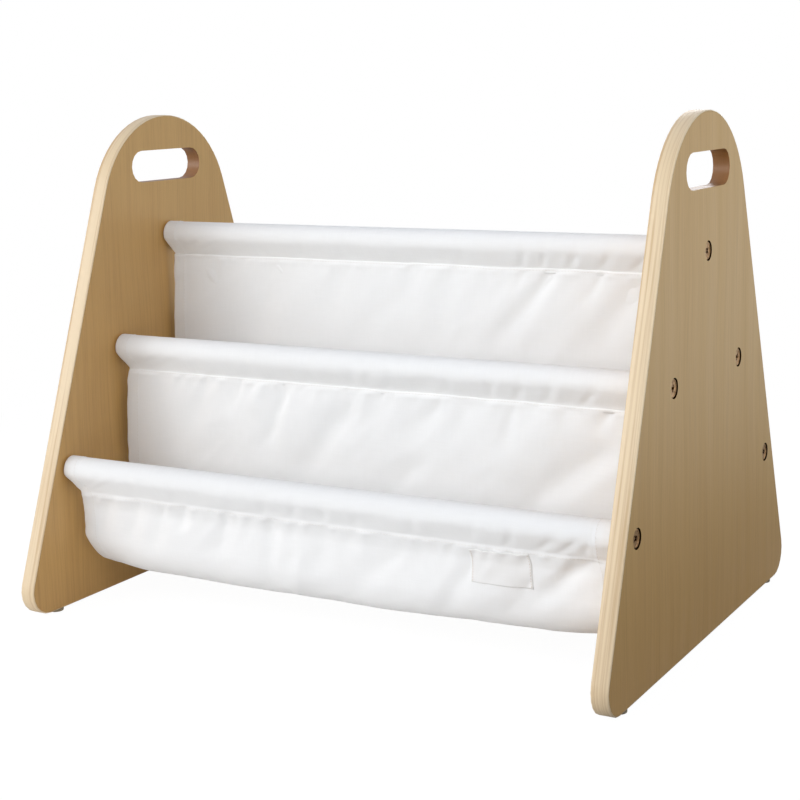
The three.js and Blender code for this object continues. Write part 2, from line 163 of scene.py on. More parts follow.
def maple_foil(finishes):
    """Maple-print foil on board: satin, with fine upright grain and faint long streaks. Where the
    board is cut through, at the slot and the holes, its pinkish brown core shows in layers."""
    material, tree = new_material("maple_print_foil")
    place = add_node(tree, "TexCoord", {}, "Object")
    # The grain wanders a few millimetres sideways over a hand's height
    bend = add_node(tree, "Mapping", {"Vector": place, "Scale": per_metre(400, 130, 170)})
    wander = add_node(tree, "TexNoise", {"Vector": bend, "Scale": 1.0, "Detail": 1.0}, "Color")
    centred = add_node(tree, "VectorMath", {0: wander, 1: (0.5, 0.5, 0.5)}, operation="SUBTRACT")
    shift = add_node(tree, "VectorMath", {0: centred, 1: (0.0, 22 * MM, 0.0)},
                     operation="MULTIPLY")
    bent = add_node(tree, "VectorMath", {0: place, 1: shift}, operation="ADD")
    # Growth lines 1.8 mm apart, broad tone bands 20 mm wide and pores 0.7 mm wide: the size, detail
    # and roughness of each, the range of its noise that shows, and the most grain that it adds
    noises, shares = [], []
    for size, detail, rough, low, high, most in (
        ((400, 1.8, 130), 3.0, 0.62, 0.46, 0.72, 0.36),
        ((400, 20, 420), 2.0, 0.5, 0.35, 0.7, 0.13),
        ((400, 0.7, 14), 1.0, 0.5, 0.5, 0.75, 0.12),
    ):
        at = add_node(tree, "Mapping", {"Vector": bent, "Scale": per_metre(*size)})
        noises.append(add_node(
            tree, "TexNoise", {"Vector": at, "Scale": 1.0, "Detail": detail, "Roughness": rough}))
        shares.append(add_node(
            tree, "MapRange", {"Value": noises[-1], "From Min": low, "From Max": high,
                               "To Min": 0.0, "To Max": most}))
    bands, pores = noises[1:]
    two = add_node(tree, "Math", {0: shares[0], 1: shares[1]}, operation="ADD")
    grain = add_node(tree, "Math", {0: two, 1: shares[2]}, operation="ADD", use_clamp=True)
    face = add_node(tree, "Mix", {0: grain, 6: finishes.foil, 7: finishes.foil_grain}, 2,
                    data_type="RGBA")
    # The cut core's layers run parallel to the faces, about 1.2 mm apart
    layers_at = add_node(tree, "Mapping", {"Vector": place, "Scale": per_metre(1.2, 45, 45)})
    layers = add_node(tree, "TexNoise", {"Vector": layers_at, "Scale": 1.0, "Detail": 2.0})
    dull = add_node(tree, "HueSaturation",
                    {"Saturation": 1.1, "Value": 0.78, "Color": finishes.cut})
    core = add_node(tree, "Mix", {0: layers, 6: dull, 7: finishes.cut}, 2, data_type="RGBA")
    # The lower part of the slot, which is 31 mm high, is painted paler: painted light from above
    height = add_node(tree, "SeparateXYZ", {0: place}, "Z")
    painted_light_share = add_node(tree, "MapRange",
                     {"Value": height, "From Min": 393 * MM, "From Max": 418 * MM,
                      "To Min": 0.6, "To Max": 0.0}, interpolation_type="SMOOTHSTEP")
    painted_slot_light = add_node(tree, "HueSaturation",
                    {"Saturation": 0.92, "Value": 1.3, "Color": finishes.cut})
    slot = add_node(tree, "Mix", {0: painted_light_share, 6: core, 7: painted_slot_light}, 2, data_type="RGBA")
    # Below the slot, what is cut through is a bored hole, painted near black: painted shade for the
    # shadow inside the hole
    bored = add_node(tree, "Math", {0: height, 1: 380 * MM}, operation="LESS_THAN")
    painted_hole_shade = add_node(tree, "HueSaturation", {"Saturation": 1.4, "Value": 0.1, "Color": core})
    walls = add_node(tree, "Mix", {0: bored, 6: slot, 7: painted_hole_shade}, 2, data_type="RGBA")
    normal = add_node(tree, "NewGeometry", {}, "True Normal")
    sideways = add_node(tree, "SeparateXYZ", {0: normal}, "X")
    across = add_node(tree, "Math", {0: sideways}, operation="ABSOLUTE")
    on_face = add_node(tree, "Math", {0: across, 1: 0.5}, operation="GREATER_THAN")
    shown = add_node(tree, "Mix", {0: on_face, 6: walls, 7: face}, 2, data_type="RGBA")
    gloss = add_node(tree, "MapRange", {"Value": bands, "From Min": 0.3, "From Max": 0.7,
                                        "To Min": 0.36, "To Max": 0.46})
    relief = add_node(tree, "Bump", {"Strength": 0.25, "Distance": 0.05 * MM, "Height": pores})
    # A bored hole's torn chips have no shine
    cut = add_node(tree, "Math", {0: 1.0, 1: on_face}, operation="SUBTRACT")
    torn = add_node(tree, "Math", {0: cut, 1: bored}, operation="MULTIPLY")
    shine = add_node(tree, "MapRange", {"Value": torn, "To Min": 0.5, "To Max": 0.02})
    return finished(material, {"Base Color": shown, "Roughness": gloss, "IOR": 1.48,
                               "Specular IOR Level": shine, "Normal": relief})


def edge_tape(finishes):
    """Maple edge tape: paler than the face, with a few lines that run along the edge."""
    material, tree = new_material("maple_edge_tape")
    place = add_node(tree, "TexCoord", {}, "Object")
    # Lines about 2.6 mm apart across the 15 mm edge, each some 200 mm long
    lines_at = add_node(tree, "Mapping", {"Vector": place, "Scale": per_metre(2.6, 190, 190)})
    lines = add_node(tree, "TexNoise",
                     {"Vector": lines_at, "Scale": 1.0, "Detail": 3.0, "Roughness": 0.55})
    share = add_node(tree, "MapRange", {"Value": lines, "From Min": 0.46, "From Max": 0.68,
                                        "To Min": 0.0, "To Max": 0.6})
    tape = add_node(tree, "Mix", {0: share, 6: finishes.tape, 7: finishes.tape_grain}, 2,
                    data_type="RGBA")
    # Where the tape's own side shows, it has the foil's colour beside it
    normal = add_node(tree, "NewGeometry", {}, "True Normal")
    sideways = add_node(tree, "SeparateXYZ", {0: normal}, "X")
    across = add_node(tree, "Math", {0: sideways}, operation="ABSOLUTE")
    on_face = add_node(tree, "Math", {0: across, 1: 0.96}, operation="GREATER_THAN")
    shown = add_node(tree, "Mix", {0: on_face, 6: tape, 7: finishes.foil}, 2, data_type="RGBA")
    relief = add_node(tree, "Bump", {"Strength": 0.3, "Distance": 0.06 * MM, "Height": lines})
    return finished(material, {"Base Color": shown, "Roughness": 0.42, "IOR": 1.48,
                               "Normal": relief})


def sanded_dowel(finishes):
    """Sanded hardwood dowel: unfinished, with straight grain along the rod and dull end grain."""
    material, tree = new_material("sanded_hardwood_dowel")
    place = add_node(tree, "TexCoord", {}, "Object")
    # Grain lines 1.8 mm apart that run the length of the rod
    lines_at = add_node(tree, "Mapping", {"Vector": place, "Scale": per_metre(120, 1.8, 1.8)})
    lines = add_node(tree, "TexNoise", {"Vector": lines_at, "Scale": 1.0, "Detail": 3.0})
    dark = add_node(tree, "HueSaturation",
                    {"Saturation": 1.15, "Value": 0.72, "Color": finishes.dowel})
    shown = add_node(tree, "Mix", {0: lines, 6: finishes.dowel, 7: dark}, 2, data_type="RGBA")
    relief = add_node(tree, "Bump", {"Strength": 0.4, "Distance": 0.1 * MM, "Height": lines})
    return finished(material, {"Base Color": shown, "Roughness": 0.66, "IOR": 1.5,
                               "Normal": relief})


def antique_bronze(finishes):
    """Antique bronze plating: brown metal, brighter where handling has rubbed it."""
    material, tree = new_material("antique_bronze_plating")
    place = add_node(tree, "TexCoord", {}, "Object")
    # Patina blotches 2.5 mm wide, and the turning marks' fine grit at 0.4 mm
    patina_at = add_node(tree, "Mapping", {"Vector": place, "Scale": per_metre(2.5, 2.5, 2.5)})
    patina = add_node(tree, "TexNoise", {"Vector": patina_at, "Scale": 1.0, "Detail": 4.0})
    grit_at = add_node(tree, "Mapping", {"Vector": place, "Scale": per_metre(0.4, 0.4, 0.4)})
    grit = add_node(tree, "TexNoise", {"Vector": grit_at, "Scale": 1.0, "Detail": 2.0})
    dark = add_node(tree, "HueSaturation",
                    {"Hue": 0.49, "Saturation": 1.15, "Value": 0.3, "Color": finishes.bronze})
    share = add_node(tree, "MapRange", {"Value": patina, "From Min": 0.35, "From Max": 0.65,
                                        "To Min": 0.15, "To Max": 1.0})
    worn = add_node(tree, "Mix", {0: share, 6: dark, 7: finishes.bronze}, 2, data_type="RGBA")
    # The plating is still black in the recess and under the rim, where nothing has rubbed it: the
    # head's top stands 289 mm out from the middle of the rack
    outward = add_node(tree, "SeparateXYZ", {0: place}, "X")
    far = add_node(tree, "Math", {0: outward}, operation="ABSOLUTE")
    rubbed = add_node(tree, "MapRange", {"Value": far, "From Min": 288.2 * MM,
                                         "From Max": 288.8 * MM, "To Min": 0.0, "To Max": 1.0})
    black = add_node(tree, "HueSaturation",
                     {"Hue": 0.485, "Saturation": 1.4, "Value": 0.06, "Color": finishes.bronze})
    shown = add_node(tree, "Mix", {0: rubbed, 6: black, 7: worn}, 2, data_type="RGBA")
    gloss = add_node(tree, "MapRange", {"Value": patina, "From Min": 0.3, "From Max": 0.7,
                                        "To Min": 0.48, "To Max": 0.3})
    relief = add_node(tree, "Bump", {"Strength": 0.3, "Distance": 0.04 * MM, "Height": grit})
    return finished(material, {"Base Color": shown, "Roughness": gloss, "Metallic": 1.0,
                               "Normal": relief})


def bright_zinc(finishes):
    """Bright zinc plating: pale metal with a faint spangle."""
    material, tree = new_material("bright_zinc_plating")
    place = add_node(tree, "TexCoord", {}, "Object")
    # Spangle about 1.5 mm across
    spangle_at = add_node(tree, "Mapping", {"Vector": place, "Scale": per_metre(1.5, 1.5, 1.5)})
    spangle = add_node(tree, "TexNoise", {"Vector": spangle_at, "Scale": 1.0, "Detail": 3.0})
    dull = add_node(tree, "HueSaturation", {"Value": 0.75, "Color": finishes.zinc})
    shown = add_node(tree, "Mix", {0: spangle, 6: finishes.zinc, 7: dull}, 2, data_type="RGBA")
    gloss = add_node(tree, "MapRange", {"Value": spangle, "From Min": 0.3, "From Max": 0.7,
                                        "To Min": 0.3, "To Max": 0.45})
    return finished(material, {"Base Color": shown, "Roughness": gloss, "Metallic": 1.0})


def canvas_cloth(name, finish, thread_mm, depth_mm):
    """Plain-woven cloth: matt, with a soft sheen, and threads that cross over and under."""
    material, tree = new_material(name)
    place = add_node(tree, "TexCoord", {}, "UV")
    # A wave texture's scale of 1 repeats every 2 pi / 20 units, and the weave repeats every two
    # threads
    turn = math.pi / (10 * thread_mm * 2 * MM)
    threads, slubs = [], []
    for direction, slub_size in (("X", (22, thread_mm * 1.6, 1000)),
                                 ("Y", (thread_mm * 1.6, 22, 1000))):
        wave = add_node(tree, "TexWave", {"Vector": place, "Scale": turn, "Distortion": 0.0},
                        "Fac", wave_type="BANDS", bands_direction=direction)
        threads.append(add_node(tree, "Math", {0: wave, 1: 0.5}, operation="SUBTRACT"))
        # Slubs: threads that are thicker for 20 mm or so, one set each way
        slub_at = add_node(tree, "Mapping", {"Vector": place, "Scale": per_metre(*slub_size)})
        slubs.append(add_node(tree, "TexNoise", {"Vector": slub_at, "Scale": 1.0, "Detail": 1.0}))
    crossing = add_node(tree, "Math", {0: threads[0], 1: threads[1]}, operation="MULTIPLY")
    slub = add_node(tree, "Math", {0: slubs[0], 1: slubs[1]}, operation="ADD")
    height = add_node(tree, "Math", {0: slub, 1: 0.5, 2: crossing}, operation="MULTIPLY_ADD")
    relief = add_node(tree, "Bump",
                      {"Strength": 0.5, "Distance": depth_mm * MM, "Height": height})
    shadow = add_node(tree, "HueSaturation", {"Saturation": 1.3, "Value": 0.93, "Color": finish})
    share = add_node(tree, "MapRange", {"Value": slub, "From Min": 0.8, "From Max": 1.3,
                                        "To Min": 0.3, "To Max": 0.0})
    shown = add_node(tree, "Mix", {0: share, 6: finish, 7: shadow}, 2, data_type="RGBA")
    return finished(material, {"Base Color": shown, "Roughness": 0.85, "Specular IOR Level": 0.3,
                               "Sheen Weight": 0.12, "Sheen Roughness": 0.5, "Normal": relief})


def spun_thread(name, finish):
    """Spun polyester thread: twisted, with a dull shine."""
    material, tree = new_material(name)
    place = add_node(tree, "TexCoord", {}, "Object")
    # The twist's ridges, 0.5 mm apart
    twist_at = add_node(tree, "Mapping", {"Vector": place, "Scale": per_metre(0.5, 0.5, 0.5)})
    twist = add_node(tree, "TexNoise", {"Vector": twist_at, "Scale": 1.0, "Detail": 1.0})
    dark = add_node(tree, "HueSaturation", {"Saturation": 1.2, "Value": 0.85, "Color": finish})
    shown = add_node(tree, "Mix", {0: twist, 6: finish, 7: dark}, 2, data_type="RGBA")
    return finished(material, {"Base Color": shown, "Roughness": 0.55})


def glide_rubber(finishes):
    """Moulded rubber: matt and tan, with a little dirt in its pores."""
    material, tree = new_material("moulded_rubber")
    place = add_node(tree, "TexCoord", {}, "Object")
    # Pores about 0.8 mm across
    pores_at = add_node(tree, "Mapping", {"Vector": place, "Scale": per_metre(0.8, 0.8, 0.8)})
    pores = add_node(tree, "TexNoise", {"Vector": pores_at, "Scale": 1.0, "Detail": 3.0})
    dark = add_node(tree, "HueSaturation", {"Value": 0.7, "Color": finishes.glide})
    shown = add_node(tree, "Mix", {0: pores, 6: finishes.glide, 7: dark}, 2, data_type="RGBA")
    relief = add_node(tree, "Bump", {"Strength": 0.3, "Distance": 0.08 * MM, "Height": pores})
    return finished(material, {"Base Color": shown, "Roughness": 0.8, "Normal": relief})


def select_only(*objects):
    """Leaves just these objects selected, the last of them active."""
    bpy.ops.object.select_all(action="DESELECT")
    for one in objects:
        one.select_set(True)
        bpy.context.view_layer.objects.active = one


def apply_modifiers(piece):
    """Applies every modifier on a piece, in order."""
    select_only(piece)
    for modifier in list(piece.modifiers):
        bpy.ops.object.modifier_apply(modifier=modifier.name)


def soften_node(node, angle):
    """Shades a CAD node's round faces smoothly and keeps its corners crisp."""
    weld = node.modifiers.new("Weld", "WELD")
    weld.merge_threshold = 0.002 * MM
    split = node.modifiers.new("Crisp corners", "EDGE_SPLIT")
    split.split_angle = math.radians(angle)
    node.data.polygons.foreach_set("use_smooth", [True] * len(node.data.polygons))
    node.data.update()


def give(piece, material):
    """Puts one material on a piece."""
    piece.data.materials.clear()
    piece.data.materials.append(material)


def pick(piece, kind, wanted):
    """In edit mode, selects just the faces or edges that a test on the element accepts."""
    bpy.ops.mesh.select_mode(type=kind)
    bpy.ops.mesh.select_all(action="DESELECT")
    mesh = bmesh.from_edit_mesh(piece.data)
    elements = mesh.faces if kind == "FACE" else mesh.edges
    chosen = [element for element in elements if wanted(element)]
    if not chosen:
        raise RuntimeError(f"{piece.name}: nothing to select")
    for element in chosen:
        element.select_set(True)
    mesh.select_flush_mode()
    bmesh.update_edit_mesh(piece.data)


def rod_axis(place):
    """The depth and height of a rod's axis, in millimetres, from its CAD node."""
    low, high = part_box(f"{place}_rod")
    middle = (low + high) / 2 / MM
    return middle.y, middle.z


def smooth(share):
    """Zero to one in a soft S."""
    held = min(max(share, 0.0), 1.0)
    return held * held * (3 - 2 * held)


# The sling's section in millimetres, from a rod's axis, as the CAD pockets have it
ROD_RADIUS = 11.0
SLEEVE_EASE = 0.3
FRONT_WALL = 4.6
WALL_FLARE = 16.0
POCKET_DROP = 101.0
BACK_WALL = 6.8
END_LIFT = 8.0
END_REACH = 60.0
WALL_INSET = 8.0
SLEEVE_GAP = 1.8
WALL_LAP = 1.2
# What only the scene's finer cloth has: half its own thickness, its play beside a panel, how far
# the sleeve's plies lie together above the seam, how far from a seam the wall has spread out, how
# much the side hems draw in round the bottom, and how much higher the right side hangs
HALF_PLY = 0.35
PANEL_PLAY = 0.3
SEAM_TAB = 1.6
SEAM_SPREAD = 14.0
HEM_DRAW = 6.4
RIGHT_LIFT = 4.5

# Creases that the photograph shows on each wall: across and down at one end, across and down at
# the other, half width, and how far they stand out towards the front, all in millimetres
TOP_WALL_CREASES = (
    (146, 6, 92, 66, 9, -3.3), (232, 10, 178, 72, 15, -3.9), (196, 2, 178, 26, 6, -1.4),
    (23, 8, 16, 70, 16, 1.2), (-74, 10, -84, 60, 10, -1.4), (-150, 4, -172, 70, 14, -1.5),
    (70, 4, 48, 50, 10, 1.0), (118, 2, 108, 20, 5, -0.9),
)
MIDDLE_WALL_CREASES = (
    (-134, 1, -150, 30, 6, -1.8), (-84, 5, -106, 62, 7, -2.5), (-22, 24, -76, 92, 14, -3.6),
    (-14, 6, -18, 44, 7, -1.2), (76, 10, 40, 46, 8, -1.5), (145, 3, 139, 40, 6, -1.7),
    (236, 1, 222, 20, 6, -1.8), (232, 38, 150, 92, 15, -4.2), (58, 60, 8, 104, 14, -2.4),
    (-112, 4, -120, 30, 7, 1.2), (20, 3, 4, 34, 8, -1.0), (186, 4, 170, 34, 8, 1.0),
    (104, 4, 92, 36, 7, -1.0), (-172, 3, -190, 50, 9, -1.5), (-48, 2, -58, 24, 6, 0.9),
)
FRONT_WALL_CREASES = (
    (252, 0, 182, 62, 9, -3.9), (228, 4, 206, 40, 7, 1.4), (143, 20, 116, 66, 9, -1.5),
    (-143, 1, -154, 24, 6, -1.8), (-51, 3, -60, 66, 9, -1.7), (-96, 2, -118, 52, 9, -1.7),
    (72, 20, 20, 60, 11, -2.0), (-196, 2, -214, 40, 7, -1.8), (-232, 4, -246, 46, 7, -1.8),
    (8, 3, -8, 44, 9, -1.2), (104, 4, 92, 30, 7, -1.0), (40, 2, 34, 28, 7, 0.9),
    (-170, 8, -186, 52, 8, -1.4), (196, 30, 168, 66, 8, -1.8), (-20, 30, -40, 70, 9, 1.2),
)

# Dents in the slack lower half of each front sleeve: across, slant per millimetre down, half
# width and depth, in millimetres
TOP_SLEEVE_DENTS = (
    (-250, -1.3, 5, 1.0), (-236, -2.2, 6, 0.9), (-212, -2.6, 7, 0.7), (258, 0.9, 5, 0.8),
    (122, -0.4, 5, 1.1), (143, -0.5, 5, 1.1), (172, -0.7, 6, 1.2), (203, -0.9, 6, 1.0),
    (-60, -0.2, 7, 0.7), (-112, -0.2, 6, 0.7), (-8, -0.1, 5, 0.6), (60, -0.3, 6, 0.5),
    (236, -1.0, 6, 1.0), (-160, 0.1, 7, 0.6),
)
MIDDLE_SLEEVE_DENTS = (
    (-246, -1.5, 5, 1.0), (-230, -2.4, 6, 0.9), (-204, -2.8, 7, 0.7), (254, 1.0, 5, 0.8),
    (129, -0.3, 6, 1.0), (156, -0.4, 6, 1.1), (184, -0.5, 6, 1.0), (-10, -0.2, 7, 0.7),
    (-52, -0.3, 7, 0.7), (30, -0.3, 6, 0.6), (88, -0.3, 6, 0.7), (222, -0.9, 6, 0.9),
    (-120, -0.2, 7, 0.6), (-182, 0.1, 6, 0.6),
)
LOW_SLEEVE_DENTS = (
    (-252, -0.9, 4, 1.0), (-242, -1.5, 5, 1.0), (-224, -2.4, 6, 0.9), (252, -0.5, 4, 0.9),
    (-52, -0.4, 6, 0.9), (-20, -0.4, 6, 0.9), (9, -0.4, 6, 0.9), (40, -0.3, 6, 0.6),
    (220, -1.1, 6, 1.2), (240, -1.3, 6, 1.2), (-150, -0.2, 6, 0.7), (-196, 0.1, 6, 0.7),
    (96, -0.3, 7, 0.7), (150, -0.4, 6, 0.8), (186, -0.6, 6, 0.8),
)


def crease_relief(creases, across, down):
    """How far the placed creases move the cloth at a place on a wall."""
    total = 0.0
    for x0, s0, x1, s1, width, depth in creases:
        run_x, run_s = x1 - x0, s1 - s0
        reach = math.hypot(run_x, run_s)
        share = ((across - x0) * run_x + (down - s0) * run_s) / (reach * reach)
        if share < -0.25 or share > 1.25:
            continue
        off = ((across - x0) * run_s - (down - s0) * run_x) / reach
        # A crease starts tight at the seam and opens out as it runs down
        spread = width * (0.7 + 0.7 * max(share, 0.0))
        if abs(off) > 3 * spread:
            continue
        fade = smooth((share + 0.25) / 0.4) * (1 - smooth((share - 0.7) / 0.55))
        total += depth * fade * math.exp(-(off / spread) ** 2)
    return total


def dent_relief(dents, across, below_axis):
    """How far the placed dents press a sleeve's slack half in."""
    total = 0.0
    for place, slant, width, depth in dents:
        off = across - place - slant * (below_axis - 8)
        if abs(off) < 3 * width:
            # A dent has a soft ridge on each side
            total -= depth * (1.25 - 1.6 * (off / width) ** 2) * math.exp(-(off / width) ** 2)
    return total


def drift(across, along, seed, wide, tall, slant=0.0):
    """Smooth noise whose lumps are wide by tall millimetres and lean by slant."""
    return noise.noise(Vector(((across + slant * along) / wide, along / tall, seed)))


def crumple(across, along, seed, size, slant=0.0):
    """Noise with crease lines, like cloth that has been folded and hung up again."""
    at = Vector(((across + slant * along) / size, along / (size * 1.7), seed))
    bend = noise.noise(at * 0.7 + Vector((0, 0, 9.1)))
    line = noise.noise(at + Vector((bend, -bend, 0)) * 0.7)
    return 0.2 - math.sqrt(line * line + 0.006)


def open_sheet(name, vertices, faces, flat):
    """A smooth sheet without thickness, with each point's flat place in metres as its UV."""
    mesh = bpy.data.meshes.new(name)
    mesh.from_pydata(vertices, [], faces)
    layer = mesh.uv_layers.new(name="cloth")
    corners = [0] * len(mesh.loops)
    mesh.loops.foreach_get("vertex_index", corners)
    layer.uv.foreach_set("vector", [part for corner in corners for part in flat[corner]])
    mesh.polygons.foreach_set("use_smooth", [True] * len(mesh.polygons))
    piece = bpy.data.objects.new(name, mesh)
    bpy.context.scene.collection.objects.link(piece)
    return piece


def thicken(piece, thickness, offset, shares):
    """Gives a sheet its greatest thickness, of which each point has its own share."""
    layers = piece.vertex_groups.new(name="layers")
    for share in set(shares):
        points = [index for index, own in enumerate(shares) if own == share]
        layers.add(points, share, "REPLACE")
    thick = piece.modifiers.new("Thickness", "SOLIDIFY")
    thick.thickness = thickness
    thick.offset = offset
    thick.vertex_group = layers.name
    apply_modifiers(piece)


class HungCloth:
    """A sheet of the sling: its section, and the place of any point on the cloth.

    The section starts at one end of the low rod's sleeve. Places in it are depth and height from
    the low rod's axis, with the pocket towards plus depth, all in millimetres."""

    def __init__(self, sizes, low, high, starts, lap, insets, aside, creases, dents, seed):
        self.low = low
        self.rise = None if high is None else high[1] - low[1]
        self.row = None if high is None else high[0] - low[0]
        self.drop = sizes.seam_drop / MM
        self.flap = sizes.flap / MM
        self.fold_depth = sizes.fold_depth / MM
        self.pucker = sizes.pucker / MM
        self.hem = sizes.hem / MM
        self.starts = starts
        self.lap = lap
        self.sleeve_inset, self.front_inset, self.back_inset, self.top_inset = insets
        self.aside = aside
        self.front_creases, self.back_creases = creases
        self.dents = dents
        self.seed = seed
        self.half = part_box("right_side_panel")[0].x / MM - PANEL_PLAY
        self.points = self.draw_section()
        self.runs = [0.0]
        for a, b in zip(self.points, self.points[1:]):
            self.runs.append(self.runs[-1] + math.dist(a, b))
        self.total = self.runs[-1]
        self.seam_run = self.runs[self.seam_index]

    def draw_section(self):
        """Fine points along the section, from the sleeve's end to the high seam."""
        radius = ROD_RADIUS + SLEEVE_EASE + HALF_PLY
        side = self.lap
        tangent = math.asin(radius / (self.drop - SEAM_TAB))
        arc = [
            (radius * math.cos(a), radius * math.sin(a) - SLEEVE_EASE)
            for a in (-tangent + (math.pi + 2 * tangent) * step / 60 for step in range(61))
        ]
        rear = [(side, -self.drop), (side, SEAM_TAB - self.drop)]
        front = [(-side, SEAM_TAB - self.drop), (-side, -self.drop)]
        loop = [*rear, *arc, *front]
        if self.starts == "hem":
            # The turned end follows the wall that it is sewn behind
            under = [(self.wall_depth(d, -side) + 2 * side, -self.drop - d)
                     for d in (self.flap, self.flap * 0.66, self.flap * 0.33)]
            loop = [*under, *loop]
        elif self.starts == "front":
            loop = [(-side, -self.drop - 3), *reversed(loop)]
        else:
            loop = [(side, -self.drop - 3), *loop, (-side, -self.drop - 3)]
        points = self.fill(loop)
        self.seam_index = len(points) - 1
        if self.row is None:
            return points
        start = points[-1][0]
        wall = [(self.wall_depth(d, start), -self.drop - d) for d in range(2, 17, 2)]
        bowl_radius = (self.row - FRONT_WALL - BACK_WALL) / 2
        centre = FRONT_WALL + bowl_radius
        centre_height = bowl_radius - POCKET_DROP
        bowl = [
            (centre - bowl_radius * math.cos(a), centre_height - bowl_radius * math.sin(a))
            for a in (math.pi * step / 40 for step in range(41))
        ]
        # The back wall's top laps over the front ply of the sleeve above
        lapped = [(self.row - ahead, self.rise - self.drop + above)
                  for ahead, above in ((1.44, -4), (1.44, 0), (1.24, WALL_LAP))]
        return points + self.fill([points[-1], *wall, *bowl, *lapped])[1:]

    @staticmethod
    def wall_depth(below_seam, start):
        """The front wall's depth, which eases from the seam to its hanging line."""
        share = min(below_seam / WALL_FLARE, 1.0)
        eased = (smooth(share) + 1 - (1 - share) ** 2) / 2
        return start + (FRONT_WALL - start) * eased

    @staticmethod
    def fill(corners):
        """Points no more than a millimetre apart along straight runs between corners."""
        points = [corners[0]]
        for a, b in zip(corners, corners[1:]):
            steps = max(1, math.ceil(math.dist(a, b)))
            points += [
                (a[0] + (b[0] - a[0]) * k / steps, a[1] + (b[1] - a[1]) * k / steps)
                for k in range(1, steps + 1)
            ]
        return points

    def at(self, run):
        """The section's depth and height, and its outward direction, at a distance along it."""
        held = min(max(run, 0.0), self.total)
        low, high = 0, len(self.runs) - 1
        while high - low > 1:
            middle = (low + high) // 2
            if self.runs[middle] <= held:
                low = middle
            else:
                high = middle
        share = (held - self.runs[low]) / max(self.runs[high] - self.runs[low], 1e-9)
        a, b = self.points[low], self.points[high]
        # The direction comes from points a little further apart, so corners turn softly
        before = self.points[max(low - 2, 0)]
        after = self.points[min(high + 2, len(self.points) - 1)]
        d, h = a[0] + (b[0] - a[0]) * share, a[1] + (b[1] - a[1]) * share
        run_d, run_h = after[0] - before[0], after[1] - before[1]
        size = math.hypot(run_d, run_h)
        sign = -1 if self.starts == "front" and run <= self.seam_run else 1
        return d, h, sign * run_h / size, -sign * run_d / size

    def width_at(self, run, height):
        """Half the cloth's width, and how far its middle has slid to the right. It reaches the
        panels on the rod, and less far at the seam."""
        down = run - self.seam_run
        if down > 0:
            share = smooth((down - 50) / 100)
            inset = self.front_inset + (self.back_inset - self.front_inset) * share
            # Each seam draws the cloth in, and away from it the wall spreads out again
            low_seam = 1 - smooth(down / SEAM_SPREAD)
            high_seam = 1 - smooth((self.total - run) / SEAM_SPREAD)
            inset += (self.sleeve_inset - self.front_inset) * low_seam
            inset += (self.top_inset - self.back_inset) * high_seam
            # The side hems draw in round the pocket's bottom, from 46 to 170 mm below the seam
            inset += HEM_DRAW * smooth((down - 46) / 32) * (1 - smooth((down - 100) / 70))
            return self.half - inset, self.aside * (1 - 0.6 * share)
        below = min(max((-height - 3.5) / (self.drop - 4.5), 0.0), 1.0)
        drawn = 0.6 * below + 0.4 * smooth(below)
        return self.half - SLEEVE_GAP - (self.sleeve_inset - SLEEVE_GAP) * drawn, self.aside * drawn

    def relief(self, across, run, depth, height):
        """How far the cloth stands out of its plain section, towards the outside of the fold."""
        edge = self.half - abs(across)
        if run <= self.seam_run:
            # A sleeve lies taut over the rod, and below it is slack and crumpled
            below = -height
            if self.starts == "hem" and depth > -self.lap and below > self.drop:
                # The turned end faces the other way, so it moves with the wall in front of it
                return -self.wall_relief(across, below - self.drop, 1.0, edge)
            fade = 1 - smooth((below - 15) / 6)
            slack = smooth((below - 1) / 8) * fade
            side = 1 if depth < 0 else -1
            lumps = 0.8 * crumple(across, below * side, self.seed, 15, 0.6)
            lumps += 0.9 * drift(across, below * side, self.seed + 5, 40, 40, 0.3)
            end = math.exp(-((edge - 8) / 14) ** 2)
            round_rod = math.degrees(math.atan2(height, depth))
            lumps += 0.5 * end * drift(across * 0.5, round_rod, self.seed + 9, 30, 24)
            taut = 0.16 * crumple(across, height * side, self.seed + 2, 26, 0.9)
            if depth < 0:
                dented = dent_relief(self.dents, across, below)
                taut += 0.8 * smooth((below + 6) / 9) * fade * dented
            # The rod under the cloth stops it from sinking in
            return max(slack * lumps + taut, ROD_RADIUS + 0.4 - math.hypot(depth, height))
        wall_run = run - self.seam_run
        left = self.total - run - WALL_LAP
        bowl = smooth((wall_run - 46) / 100)
        facing = math.cos(math.pi * bowl)
        near_front = self.wall_relief(across, wall_run, 1.0, edge) if wall_run < 150 else 0.0
        near_back = self.wall_relief(across, left, -1.0, edge) if left < 220 else 0.0
        front_share = 1 - smooth((wall_run - 60) / 80)
        return facing * (near_front * front_share + near_back * (1 - front_share))

    def wall_relief(self, across, down, facing, edge):
        """How far a wall stands towards the front, at a distance below its seam."""
        seed = self.seed + (20 if facing > 0 else 40)
        hang = smooth(down / 40)
        broad = self.fold_depth * hang * (
            drift(across, down, seed, 120, 190, 0.5)
            + 0.55 * drift(across, down, seed + 1, 46, 120, 0.8)
        )
        small = 1.5 * smooth(down / 26) * crumple(across, down, seed + 2, 44, 0.8)
        crisp = 0.75 if facing > 0 else 0.5
        small += crisp * smooth(down / 10) * crumple(across, down, seed + 8, 18, 0.9)
        # Gathers close to the seam, which lean and die away downwards
        gather = self.pucker * 2.2 * smooth(down / 3) * math.exp(-max(down - 3, 0) / 12) * (
            drift(across, down, seed + 3, 8.5, 30, 0.45)
            + 0.4 * drift(across, down, seed + 4, 26, 30, 0.4)
        )
        ridge = 0.35 * math.exp(-((down - 3.2) / 2.4) ** 2)
        creases = self.front_creases if facing > 0 else self.back_creases
        placed = crease_relief(creases, across, down)
